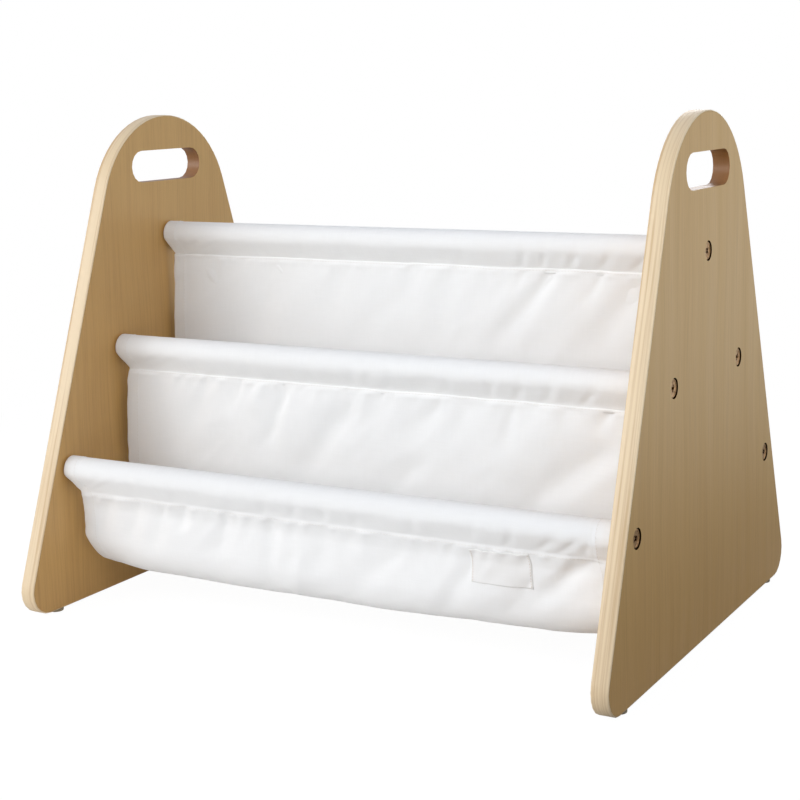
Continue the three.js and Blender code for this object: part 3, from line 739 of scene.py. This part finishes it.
        # The side hems crinkle along their length
        on_hem = math.exp(-(max(edge - 8, 0) / 13) ** 2)
        crinkle = 0.9 * on_hem * drift(down, across, seed + 6, 11, 60, 0.3)
        total = broad + small + gather + ridge + placed + crinkle * smooth(down / 8)
        return total * smooth((down + 1) / 3)

    def place(self, share, run):
        """A point of the cloth in metres, its share of the half width across, at a run along."""
        depth, height, out_d, out_h = self.at(run)
        half, slid = self.width_at(run, height)
        across = share * half + slid
        near_edge = smooth((abs(share) - 0.9) / 0.1)
        # Round the rod's lower half the side edge wavers
        wave = drift(run, share, self.seed + 11, 23, 3)
        wave += 0.6 * drift(run, share, self.seed + 12, 9, 3)
        on_rod = smooth((-height - 6) / 10)
        across -= math.copysign(1.0, share) * 0.9 * near_edge * on_rod * (wave + 0.5)
        stand = self.relief(across, run, depth, height)
        depth += out_d * stand
        height += out_h * stand
        if self.row is not None and run > self.seam_run:
            near_high = depth > self.row / 2
            from_low = -self.drop - height
            from_high = self.rise - self.drop - height if near_high else 60.0
            share_up = smooth(from_low / 60) * smooth(from_high / (POCKET_DROP - self.drop))
            from_edge = self.half - WALL_INSET - abs(across)
            lift = END_LIFT * max(1 - max(from_edge, 0) / END_REACH, 0) ** 1.3
            # The right side hangs a little higher, as the photograph shows
            lift += RIGHT_LIFT * smooth((across - 45) / 150)
            # The fold at the bottom rises and sinks along its length
            lift += (1.1 * drift(across, 0, self.seed + 14, 62, 10)
                     + 0.5 * drift(across, 0, self.seed + 15, 25, 10))
            height += share_up * lift
            # The top edge of the wall wavers a little where it is sewn on
            height += self.waver(across) * (1 - smooth((self.total - run) / 12))
        return Vector((across, self.low[0] + depth, self.low[1] + height)) * MM

    def waver(self, across):
        """How far a sewn line strays from straight."""
        broad = 0.9 * drift(across, 0, self.seed + 51, 60, 10)
        return broad + 0.45 * drift(across, 0, self.seed + 52, 16, 10)

    def facing(self, share, run):
        """The cloth's outward direction at a place."""
        side = self.place(share + 0.004, run) - self.place(share - 0.004, run)
        along = self.place(share, run + 0.8) - self.place(share, run - 0.8)
        out = along.cross(side).normalized()
        return -out if self.starts == "front" and run <= self.seam_run else out

    def runs_along(self, spacing):
        """Mesh rows along the section, closer together beside the seam."""
        runs = [0.0]
        while runs[-1] < self.total - 0.5:
            near = min(abs(runs[-1] - self.seam_run), abs(self.total - WALL_LAP - runs[-1]))
            step = spacing * (0.45 if near < 7 else 0.8 if near < 24 else 1.0)
            runs.append(min(runs[-1] + step, self.total))
        return runs

    def shares_across(self, spacing):
        """Mesh columns from one side to the other, closer together on the hems."""
        places = [-self.half]
        while places[-1] < self.half - 0.5:
            near = self.half - abs(places[-1])
            step = spacing * (0.5 if near < self.hem + 4 else 1.0)
            places.append(min(places[-1] + step, self.half))
        return [place / self.half for place in places]

    def mesh(self, name, sizes):
        """The sheet as a mesh with its thickness, doubled on the side hems."""
        spacing = sizes.grid / MM
        runs = self.runs_along(spacing)
        shares = self.shares_across(spacing)
        vertices = [self.place(share, run) for run in runs for share in shares]
        wide = len(shares)
        faces = [
            (row * wide + k, row * wide + k + 1, (row + 1) * wide + k + 1, (row + 1) * wide + k)
            for row in range(len(runs) - 1) for k in range(wide - 1)
        ]
        flat = [(share * self.half * MM, run * MM) for run in runs for share in shares]
        piece = open_sheet(name, vertices, faces, flat)
        layers = [1.0 if self.half * (1 - abs(share)) < self.hem else 0.5 for share in shares]
        layers *= len(runs)
        # The lapped end is pressed thin, so it lies down on the sleeve under it
        if self.row is not None:
            layers[-wide:] = [0.2] * wide
        thicken(piece, 2 * sizes.thickness, 0.0, layers)
        return piece


def stitch_rows(name, rows, long, thick):
    """Raised stitches as one mesh, each given as its (place, along, out) vectors."""
    mesh = bmesh.new()
    half = long / 2
    radius = thick / 2
    rings = ((-1.0, 0.35, -0.6), (-0.55, 1.0, 0.3), (0.55, 1.0, 0.3), (1.0, 0.35, -0.6))
    for place, along, out in rows:
        side = along.cross(out).normalized()
        up = side.cross(along).normalized()
        loops = []
        for reach, swell, rise in rings:
            middle = place + along * (reach * half) + up * (rise * radius)
            loops.append([
                mesh.verts.new(middle + (side * math.cos(a) + up * math.sin(a)) * (radius * swell))
                for a in (math.tau * step / 5 for step in range(5))
            ])
        for first, second in zip(loops, loops[1:]):
            for k in range(5):
                mesh.faces.new((first[k], second[k], second[(k + 1) % 5], first[(k + 1) % 5]))
        mesh.faces.new(loops[0])
        mesh.faces.new(reversed(loops[-1]))
    bmesh.ops.recalc_face_normals(mesh, faces=mesh.faces)
    data = bpy.data.meshes.new(name)
    mesh.to_mesh(data)
    mesh.free()
    data.polygons.foreach_set("use_smooth", [True] * len(data.polygons))
    piece = bpy.data.objects.new(name, data)
    bpy.context.scene.collection.objects.link(piece)
    return piece


def seam_stitches(cloth, sizes, run, side):
    """Stitches across the cloth at one run along its section."""
    pitch = sizes.pitch / MM
    reach = 1 - 3 / cloth.half
    count = int(2 * cloth.half / pitch)
    rows = []
    for k in range(count + 1):
        share = reach * (2 * k / count - 1)
        place = cloth.place(share, run)
        along = (cloth.place(share + 0.003, run) - cloth.place(share - 0.003, run)).normalized()
        out = cloth.facing(share, run) * side
        rows.append((place + out * (sizes.thickness * 0.55), along, out))
    return rows


def hem_stitches(cloth, sizes, side):
    """Stitches down both side hems, on one face of the cloth."""
    # They start and end 4 mm from the cloth's ends, 1.6 mm inside the hem's turned edge
    count = int((cloth.total - 8) / (sizes.pitch / MM))
    rows = []
    for edge in (-1, 1):
        share = edge * (1 - (cloth.hem - 1.6) / cloth.half)
        for k in range(count + 1):
            run = 4 + (cloth.total - 8) * k / count
            place = cloth.place(share, run)
            along = (cloth.place(share, run + 1) - cloth.place(share, run - 1)).normalized()
            out = cloth.facing(share, run) * side
            rows.append((place + out * (sizes.thickness * 1.02), along, out))
    return rows


def turned_copy(piece, name):
    """A copy with its own mesh, turned half round the upright axis."""
    copy = bpy.data.objects.new(name, piece.data.copy())
    copy.data.name = name
    copy.data.transform(Matrix.Rotation(math.pi, 4, "Z"))
    bpy.context.scene.collection.objects.link(copy)
    return copy


def model_bolt(sizes):
    """One connector bolt on the Z axis, with the top of its head at zero."""
    low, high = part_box("top_right_bolt")
    head = (high.y - low.y) / 2
    # An M6 bolt, with 8 mm of plain shank below its 2.4 mm head
    thick, shank, plain = 2.4 * MM, 3 * MM, 8 * MM
    long = high.x - low.x - thick
    crown = sizes.crown
    bpy.ops.object.select_all(action="DESELECT")
    bpy.ops.mesh.primitive_cylinder_add(
        vertices=48, radius=head, depth=thick + crown, location=(0, 0, (crown - thick) / 2))
    bolt = bpy.context.object
    bpy.ops.object.transform_apply(location=True)
    bpy.ops.object.mode_set(mode="EDIT")
    pick(bolt, "EDGE", lambda e: all(v.co.z > -thick * 0.1 for v in e.verts))
    bpy.ops.mesh.bevel(offset=sizes.head_rounding, segments=4, profile=0.6, affect="EDGES")
    # A shallow turned step inside the rim
    pick(bolt, "FACE", lambda f: f.normal.z > 0.99 and f.calc_area() > 1e-5)
    bpy.ops.mesh.inset(thickness=0.9 * MM, depth=0)
    bpy.ops.mesh.inset(thickness=0.3 * MM, depth=-0.35 * MM)
    bpy.ops.mesh.inset(thickness=1.4 * MM, depth=0.0)
    # The shank and its thread, drawn out ring by ring below the head
    pick(bolt, "FACE", lambda f: f.normal.z < -0.99)
    bpy.ops.mesh.inset(thickness=head - shank, depth=0)
    bpy.ops.mesh.extrude_region_move(TRANSFORM_OT_translate={"value": (0, 0, -plain)})
    pitch = sizes.thread_pitch
    # The last 1.5 mm or more tapers to the tip
    turns = int((long - 9.5 * MM) / pitch)
    for _ in range(turns):
        for grow in (0.83, 1 / 0.83):
            bpy.ops.mesh.extrude_region_move(TRANSFORM_OT_translate={"value": (0, 0, -pitch / 2)})
            bpy.ops.transform.resize(value=(grow, grow, 1))
    rest = long - plain - turns * pitch
    bpy.ops.mesh.extrude_region_move(TRANSFORM_OT_translate={"value": (0, 0, -rest)})
    bpy.ops.transform.resize(value=(0.6, 0.6, 1))
    bpy.ops.object.mode_set(mode="OBJECT")
    for turn in (0, math.pi / 2):
        bpy.ops.object.select_all(action="DESELECT")
        bpy.ops.mesh.primitive_cube_add(size=1, location=(0, 0, crown))
        bar = bpy.context.object
        bar.scale = (sizes.recess, sizes.recess_width, 2 * sizes.recess_depth)
        bar.rotation_euler = (0, 0, turn)
        bpy.ops.object.transform_apply(location=True, rotation=True, scale=True)
        bpy.ops.object.mode_set(mode="EDIT")
        pick(bar, "FACE", lambda f: f.normal.z < -0.9)
        bpy.ops.transform.resize(value=(0.55, 0.55, 1))
        bpy.ops.object.mode_set(mode="OBJECT")
        cut = bolt.modifiers.new("Recess", "BOOLEAN")
        cut.object = bar
        cut.operation = "DIFFERENCE"
        cut.solver = "EXACT"
        apply_modifiers(bolt)
        bpy.data.objects.remove(bar)
    select_only(bolt)
    bpy.ops.object.shade_smooth_by_angle(angle=math.radians(35))
    return bolt


def model_glide(sizes):
    """One round glide on the Z axis, standing on zero, with its nail hole underneath."""
    low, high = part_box("front_right_foot")
    radius = (high.x - low.x) / 2
    tall = high.z - low.z
    bpy.ops.object.select_all(action="DESELECT")
    bpy.ops.mesh.primitive_cylinder_add(
        vertices=48, radius=radius, depth=tall, location=(0, 0, tall / 2))
    glide = bpy.context.object
    bpy.ops.object.transform_apply(location=True)
    bpy.ops.object.mode_set(mode="EDIT")
    pick(glide, "EDGE", lambda e: all(v.co.z < tall * 0.1 for v in e.verts))
    bpy.ops.mesh.bevel(offset=sizes.glide_rounding, segments=4, affect="EDGES")
    pick(glide, "FACE", lambda f: f.normal.z < -0.99)
    bpy.ops.mesh.inset(thickness=2.6 * MM, depth=0)
    bpy.ops.mesh.extrude_region_move(TRANSFORM_OT_translate={"value": (0, 0, 0.9 * MM)})
    bpy.ops.mesh.inset(thickness=0.7 * MM, depth=0)
    bpy.ops.mesh.extrude_region_move(TRANSFORM_OT_translate={"value": (0, 0, -0.4 * MM)})
    bpy.ops.object.mode_set(mode="OBJECT")
    select_only(glide)
    bpy.ops.object.shade_smooth_by_angle(angle=math.radians(35))
    return glide


def finish_hardware(piece, node, material):
    """Puts a modelled copy in a CAD node's place."""
    give(piece, material)
    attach(piece, "root")
    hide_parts(node)


class BOOKSHELF_OT_boards(bpy.types.Operator):
    """Gives the side panels, their edge tape, the rods and the inserts their finishes"""
    bl_idname = "bookshelf.boards"
    bl_label = "Boards and rods"

    def execute(self, context):
        finishes = context.scene.bookshelf_finishes
        foil, tape = maple_foil(finishes), edge_tape(finishes)
        dowel, zinc = sanded_dowel(finishes), bright_zinc(finishes)
        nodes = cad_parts
        for side in SIDES:
            give(nodes[f"{side}_side_panel"], foil)
            soften_node(nodes[f"{side}_side_panel"], 30)
            give(nodes[f"{side}_edge_band"], tape)
            soften_node(nodes[f"{side}_edge_band"], 50)
        for place in ROD_PLACES:
            give(nodes[f"{place}_rod"], dowel)
            soften_node(nodes[f"{place}_rod"], 30)
            for side in SIDES:
                give(nodes[f"{place}_{side}_insert"], zinc)
                soften_node(nodes[f"{place}_{side}_insert"], 31)
        return {"FINISHED"}


class BOOKSHELF_OT_bolts(bpy.types.Operator):
    """Models one connector bolt and sets a copy in each panel hole"""
    bl_idname = "bookshelf.bolts"
    bl_label = "Connector bolts"

    def execute(self, context):
        bronze = antique_bronze(context.scene.bookshelf_finishes)
        pattern = model_bolt(context.scene.bookshelf_hardware)
        for number, place in enumerate(ROD_PLACES):
            depth, height = rod_axis(place)
            for side in SIDES:
                node = f"{place}_{side}_bolt"
                low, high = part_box(node)
                facing = 1 if side == "right" else -1
                top = high.x if facing > 0 else low.x
                bolt = bpy.data.objects.new(f"{node}_detailed", pattern.data.copy())
                bolt.data.name = bolt.name
                # Every bolt stopped at its own angle when it was driven home
                turn = math.radians(17 + 41 * number + (23 if facing > 0 else 0))
                bolt.data.transform(
                    Matrix.Translation((top, depth * MM, height * MM))
                    @ Matrix.Rotation(facing * math.pi / 2, 4, "Y")
                    @ Matrix.Rotation(turn, 4, "Z")
                )
                context.scene.collection.objects.link(bolt)
                finish_hardware(bolt, node, bronze)
        bpy.data.objects.remove(pattern)
        return {"FINISHED"}


class BOOKSHELF_OT_glides(bpy.types.Operator):
    """Models one glide and sets a copy under each corner"""
    bl_idname = "bookshelf.glides"
    bl_label = "Glides"

    def execute(self, context):
        rubber = glide_rubber(context.scene.bookshelf_finishes)
        pattern = model_glide(context.scene.bookshelf_hardware)
        for row in ("front", "rear"):
            for side in SIDES:
                node = f"{row}_{side}_foot"
                low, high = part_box(node)
                glide = bpy.data.objects.new(f"{node}_detailed", pattern.data.copy())
                glide.data.name = glide.name
                middle = (low + high) / 2
                glide.data.transform(Matrix.Translation((middle.x, middle.y, low.z)))
                context.scene.collection.objects.link(glide)
                finish_hardware(glide, node, rubber)
        bpy.data.objects.remove(pattern)
        return {"FINISHED"}


def sling_cloths(sizes):
    """The front pockets and the top sleeve, before they are made meshes."""
    low, middle, top = (rod_axis(place) for place in ("front_low", "front_middle", "top"))
    # The low pocket has slid to the right, so it leaves a gap beside the left panel only
    lower = HungCloth(sizes, low, middle, "hem", 0.45, (8.4, 6.6, 5.3, 7.8), 4.0,
                      (FRONT_WALL_CREASES, MIDDLE_WALL_CREASES), LOW_SLEEVE_DENTS, 1.3)
    upper = HungCloth(sizes, middle, top, "front", 0.72, (9.4, 8.0, 5.8, 6.6), 0.0,
                      ((), TOP_WALL_CREASES), MIDDLE_SLEEVE_DENTS, 7.7)
    sleeve = HungCloth(sizes, top, None, "rear", 0.72, (6.6, 0, 0, 0), 0.0,
                       ((), ()), TOP_SLEEVE_DENTS, 13.1)
    return lower, upper, sleeve


class BOOKSHELF_OT_sling(bpy.types.Operator):
    """Hangs the canvas sling: four pockets and the top sleeve, with their stitching"""
    bl_idname = "bookshelf.sling"
    bl_label = "Canvas sling"

    def execute(self, context):
        sizes = context.scene.bookshelf_cloth
        finishes = context.scene.bookshelf_finishes
        canvas = canvas_cloth("plain_woven_canvas", finishes.canvas, 0.5, 0.06)
        thread = spun_thread("spun_polyester_thread", finishes.thread)
        lower, upper, sleeve = sling_cloths(sizes)
        for name, cloth, rods in (("lower_pocket", lower, ("low_rod", "middle_rod")),
                                  ("upper_pocket", upper, ("middle_rod", "top_rod"))):
            sheet = cloth.mesh(f"front_{name}_cloth", sizes)
            # The high seam runs 1.8 mm below the wall's top, and the low one just below the sleeve
            rows = seam_stitches(cloth, sizes, cloth.total - 1.8, -1)
            if name == "lower_pocket":
                rows += seam_stitches(cloth, sizes, cloth.seam_run + 1.2, 1)
            rows += hem_stitches(cloth, sizes, 1) + hem_stitches(cloth, sizes, -1)
            stitches = stitch_rows(f"front_{name}_stitches", rows, sizes.stitch, sizes.thread)
            for side in ("front", "rear"):
                if side == "rear":
                    sheet = turned_copy(sheet, f"rear_{name}_cloth")
                    stitches = turned_copy(stitches, f"rear_{name}_stitches")
                give(sheet, canvas)
                give(stitches, thread)
                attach(sheet, "root")
                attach(stitches, "root")
                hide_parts(f"{side}_{name}")
        top = sleeve.mesh("top_sleeve_cloth", sizes)
        rows = hem_stitches(sleeve, sizes, 1)
        stitches = stitch_rows("top_sleeve_stitches", rows, sizes.stitch, sizes.thread)
        give(top, canvas)
        give(stitches, thread)
        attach(top, "root")
        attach(stitches, "root")
        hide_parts("top_sleeve")
        return {"FINISHED"}


class BOOKSHELF_OT_label(bpy.types.Operator):
    """Sews the bare cotton label to the front of the low pocket"""
    bl_idname = "bookshelf.label"
    bl_label = "Label"

    def execute(self, context):
        sizes = context.scene.bookshelf_cloth
        finishes = context.scene.bookshelf_finishes
        lower = sling_cloths(sizes)[0]
        low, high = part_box("pocket_label")
        width, tall = high.x - low.x, high.z - low.z
        # A mesh point every 1.2 mm or so
        columns, rows = 44, 26
        wall_half, slid = (part * MM for part in lower.width_at(lower.seam_run + 16, 0))
        turned = 5 * MM
        lift = sizes.thickness / 2 + 0.35 * MM

        def at(across, down):
            """A point on the wall's outer face under the label, and its outward direction."""
            # The label is sewn on a little askew, with its right end up at the seam
            top = 4.8 - 2.6 * across / width
            foot = 8.7 + tall / MM + 0.6 * across / width
            share = (low.x + across - slid) / wall_half
            run = lower.seam_run + top + (foot - top) * down / tall
            return lower.place(share, run), lower.facing(share, run)

        vertices, flat = [], []
        for row in range(rows + 1):
            for column in range(columns + 1):
                across, down = width * column / columns, tall * row / rows
                place, out = at(across, down)
                from_end = min(across, width - across)
                # Sewn down at both ends, the tape stands off a little between them
                bow = 0.5 * MM * smooth((from_end - 4 * MM) / (12 * MM))
                bow *= 1 + 0.8 * drift(across / MM, down / MM, 3.3, 16, 14)
                vertices.append(place + out * (lift + bow))
                flat.append((across, down))
        wide = columns + 1
        faces = [
            (row * wide + k, (row + 1) * wide + k, (row + 1) * wide + k + 1, row * wide + k + 1)
            for row in range(rows) for k in range(columns)
        ]
        label = open_sheet("pocket_label_tape", vertices, faces, flat)
        # The tape is double where its ends are turned under
        thicken(label, 0.7 * MM, -1.0, [1.0 if min(across, width - across) < turned else 0.5
                                        for across, _ in flat])
        sewn = []
        margin, pitch = 1.6 * MM, 2.1 * MM
        for across in (margin, width - margin):
            count = int(tall / pitch) - 1
            for k in range(count + 1):
                down = margin + (tall - 2 * margin) * k / count
                place, out = at(across, down)
                along = (at(across, down + 1 * MM)[0] - at(across, down - 1 * MM)[0]).normalized()
                sewn.append((place + out * (lift + 0.25 * MM), along, out))
        stitches = stitch_rows("pocket_label_stitches", sewn, 1.7 * MM, 0.3 * MM)
        give(label, canvas_cloth("cotton_tape", finishes.label, 0.4, 0.05))
        # Tan thread, whose colour is partly painted shade at the label's turned ends
        give(stitches, spun_thread("tan_thread_and_painted_shade", finishes.label_thread_and_painted_shade))
        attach(label, "root")
        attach(stitches, "root")
        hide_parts("pocket_label")
        # The tape reaches 5.5 mm further down the wall than the CAD label, on average
        return {"FINISHED"}


def camera_ray_mix(tree, seen, felt):
    """A shader that the camera sees one way and the light meets another way. Stage only."""
    ray = add_node(tree, "LightPath", {}, "Is Camera Ray")
    return add_node(tree, "MixShader", {0: ray, 1: felt, 2: seen})


# Each softbox: place, what it faces, side in metres, watts, tint and the angle of its grid
LAMPS = (
    ("key_softbox", (-1.35, -2.35, 1.2), (0, 0, 0.2), 1.6, 22.0, (1.0, 1.0, 1.0), 180),
    ("left_softbox", (-2.15, -1.85, 0.95), (0, 0, 0.2), 1.5, 18.5, (1.0, 1.0, 1.0), 180),
    ("high_right_softbox", (0.95, -1.7, 1.8), (0, 0, 0.2), 1.4, 6.5, (1.0, 1.0, 1.0), 180),
    ("front_scrim", (0.3, -3.0, 1.5), (0, 0, 0.2), 2.4, 10.5, (1.0, 1.0, 1.0), 180),
    ("top_softbox", (0.3, 0.7, 2.1), (0, 0, 0.2), 1.4, 3.0, (0.9, 0.97, 1.1), 180),
    ("back_right_softbox", (1.7, 1.7, 1.5), (0, 0, 0.2), 1.2, 3.3, (0.87, 1.0, 1.05), 180),
    ("cloth_fill", (0.27, -1.4, 0.85), (0.24, -0.1, 0.3), 0.35, 0.1, (0.88, 0.97, 1.12), 40),
    ("rear_softbox", (-0.55, 2.7, 1.1), (0, 0, 0.2), 1.6, 22.0, (1.0, 1.0, 1.0), 180),
    ("low_back_fill", (1.35, 0.8, 0.2), (0.29, 0.12, 0.1), 0.6, 2.2, (0.87, 1.0, 1.06), 180),
)
# How bright the room is, how much brighter it shows in reflections, and how brightly the paper
# glows with painted light, far off and under the rack
AMBIENT = 0.34
SHINE = 0.32
FAR_PAINTED_GLOW = 0.9
UNDER_PAINTED_GLOW = 0.1


def studio_floor():
    """White paper sweep: white to the camera, with a faint shadow where the rack stands. The light
    meets paper with painted shade beside the right panel for the rack's shadow, and painted glow
    further off."""
    material, tree = new_material("white_paper_sweep")
    place = add_node(tree, "TexCoord", {}, "Object")
    across = add_node(tree, "SeparateXYZ", {0: place}, "X")
    away = add_node(tree, "VectorMath", {0: place}, "Value", operation="LENGTH")
    # Soft steps over the paper, each from one distance in metres to another and from one value to
    # another: the paper's painted shade, the far painted glow and where it lies, the painted glow
    # under the pockets but not beside the right panel, and where the camera's shadow fades out
    painted_floor_shade, far, rightwards, under, leftwards, faded = (
        add_node(tree, "MapRange", {"Value": value, "From Min": start, "From Max": end,
                                    "To Min": first, "To Max": last},
                 interpolation_type="SMOOTHSTEP")
        for value, start, end, first, last in (
            (across, 0.15, 0.45, 0.75, 0.12),
            (away, 0.3, 1.1, 0.0, FAR_PAINTED_GLOW),
            (across, 0.2, 0.9, 0.0, 1.0),
            (away, 0.25, 0.8, UNDER_PAINTED_GLOW, 0.0),
            (across, 0.2, 0.31, 1.0, 0.0),
            (away, 0.45, 1.1, 0.0, 1.0),
        )
    )
    # The paper's painted shade: darker beside the right panel, where the rack's shadow falls
    met = add_node(tree, "BsdfDiffuse", {"Color": painted_floor_shade})
    # Both glows are painted light on the paper, which only the light meets
    for glow, where, tint in ((under, leftwards, (1.0, 0.94, 0.84, 1)),
                              (far, rightwards, (0.88, 1.0, 1.03, 1))):
        strength = add_node(tree, "Math", {0: glow, 1: where}, operation="MULTIPLY")
        light = add_node(tree, "Emission", {"Color": tint, "Strength": strength})
        met = add_node(tree, "AddShader", {0: met, 1: light})
    faint = add_node(tree, "BsdfDiffuse", {"Color": (0.08, 0.08, 0.08, 1)})
    almost = add_node(tree, "Emission", {"Color": (1, 1, 1, 1), "Strength": 0.965})
    white = add_node(tree, "Emission", {"Color": (1, 1, 1, 1), "Strength": 1.0})
    shadowed = add_node(tree, "AddShader", {0: faint, 1: almost})
    seen = add_node(tree, "MixShader", {0: faded, 1: shadowed, 2: white})
    add_node(tree, "OutputMaterial", {"Surface": camera_ray_mix(tree, seen, met)})
    return material


def studio_world():
    """White to the camera. The rack meets a dimmer room, a little blue above and warm below, that
    shows brighter in its reflections."""
    world = bpy.data.worlds.new("studio")
    world.use_nodes = True
    tree = world.node_tree
    tree.nodes.clear()
    way = add_node(tree, "TexCoord", {}, "Generated")
    upwards = add_node(tree, "SeparateXYZ", {0: way}, "Z")
    above = add_node(tree, "MapRange", {"Value": upwards, "From Min": -0.1, "From Max": 0.6,
                                        "To Min": 0.0, "To Max": 1.0},
                     interpolation_type="SMOOTHSTEP")
    room = add_node(tree, "Mix", {0: above, 6: (1.0, 0.99, 0.97, 1), 7: (0.9, 0.97, 1.12, 1)}, 2,
                    data_type="RGBA")
    seen = add_node(tree, "Background", {"Color": (1, 1, 1, 1), "Strength": 1.0})
    glossy = add_node(tree, "LightPath", {}, "Is Glossy Ray")
    strength = add_node(tree, "Math", {0: glossy, 1: SHINE, 2: AMBIENT}, operation="MULTIPLY_ADD")
    felt = add_node(tree, "Background", {"Color": room, "Strength": strength})
    add_node(tree, "OutputWorld", {"Surface": camera_ray_mix(tree, seen, felt)})
    return world


# The photograph's camera, fitted to the panels' edges, slots and holes: its place in metres, its
# lens, how far the picture is shifted down, and its turn, tilt and roll in radians
CAMERA_PLACE = (0.74110, -1.32315, 0.48545)
LENS_MM = 73.896
LENS_SHIFT = -0.125
CAMERA_TURN = (0.5158, 0.1317, -0.0205)


def aim(thing, target):
    """Turns a light to face a point."""
    thing.rotation_euler = (Vector(target) - thing.location).to_track_quat("-Z", "Y").to_euler()


class BOOKSHELF_OT_stage(bpy.types.Operator):
    """Lays the pale floor and sets the studio lights and the camera"""
    bl_idname = "bookshelf.stage"
    bl_label = "Stage"

    def execute(self, context):
        scene = context.scene
        scene.view_settings.view_transform = "Standard"
        bpy.ops.object.select_all(action="DESELECT")
        bpy.ops.mesh.primitive_plane_add(size=14, location=(0, 0, 0))
        floor = context.object
        floor.name = "studio_floor"
        floor.data.materials.append(studio_floor())

        scene.world = studio_world()
        for name, place, target, size, power, tint, grid in LAMPS:
            data = bpy.data.lights.new(name, "AREA")
            data.shape = "SQUARE"
            data.size = size
            data.energy = power
            data.color = tint
            data.spread = math.radians(grid)
            lamp = bpy.data.objects.new(name, data)
            lamp.location = place
            aim(lamp, target)
            scene.collection.objects.link(lamp)

        data = bpy.data.cameras.new("photograph_view")
        data.sensor_width = 36
        data.lens = LENS_MM
        data.shift_y = LENS_SHIFT
        data.clip_start = 0.05
        data.clip_end = 50
        camera = bpy.data.objects.new("photograph_view", data)
        yaw, pitch, roll = CAMERA_TURN
        ahead = Vector((-math.sin(yaw) * math.cos(pitch), math.cos(yaw) * math.cos(pitch),
                        -math.sin(pitch)))
        level = Vector((math.cos(yaw), math.sin(yaw), 0))
        upright = level.cross(ahead)
        right = level * math.cos(roll) + upright * math.sin(roll)
        up = upright * math.cos(roll) - level * math.sin(roll)
        turned = Matrix((right, up, -ahead)).transposed().to_4x4()
        camera.matrix_world = Matrix.Translation(CAMERA_PLACE) @ turned
        scene.collection.objects.link(camera)
        scene.camera = camera
        return {"FINISHED"}


class BOOKSHELF_PT_panel(bpy.types.Panel):
    """The bookshelf's sizes, finishes and building steps"""
    bl_label = "Sling bookshelf"
    bl_idname = "BOOKSHELF_PT_panel"
    bl_space_type = "VIEW_3D"
    bl_region_type = "UI"
    bl_category = "Bookshelf"

    def draw(self, context):
        for title, group in (("Cloth", context.scene.bookshelf_cloth),
                             ("Hardware", context.scene.bookshelf_hardware),
                             ("Finishes", context.scene.bookshelf_finishes)):
            box = self.layout.box()
            box.label(text=title)
            for setting in group.bl_rna.properties:
                if setting.identifier not in {"name", "rna_type"}:
                    box.prop(group, setting.identifier)
        for operator in STEPS:
            self.layout.operator(operator.bl_idname)


STEPS = (
    BOOKSHELF_OT_stage,
    BOOKSHELF_OT_boards,
    BOOKSHELF_OT_bolts,
    BOOKSHELF_OT_glides,
    BOOKSHELF_OT_sling,
    BOOKSHELF_OT_label,
)
CLASSES = (ClothSizes, HardwareSizes, Finishes, *STEPS, BOOKSHELF_PT_panel)


def register():
    for one in CLASSES:
        bpy.utils.register_class(one)
    bpy.types.Scene.bookshelf_cloth = bpy.props.PointerProperty(type=ClothSizes)
    bpy.types.Scene.bookshelf_hardware = bpy.props.PointerProperty(type=HardwareSizes)
    bpy.types.Scene.bookshelf_finishes = bpy.props.PointerProperty(type=Finishes)


def unregister():
    del bpy.types.Scene.bookshelf_finishes
    del bpy.types.Scene.bookshelf_hardware
    del bpy.types.Scene.bookshelf_cloth
    for one in reversed(CLASSES):
        bpy.utils.unregister_class(one)


def main():
    register()
    bpy.ops.bookshelf.stage()
    bpy.ops.bookshelf.boards()
    bpy.ops.bookshelf.bolts()
    bpy.ops.bookshelf.glides()
    bpy.ops.bookshelf.sling()
    bpy.ops.bookshelf.label()


if __name__ == "__main__":
    main()
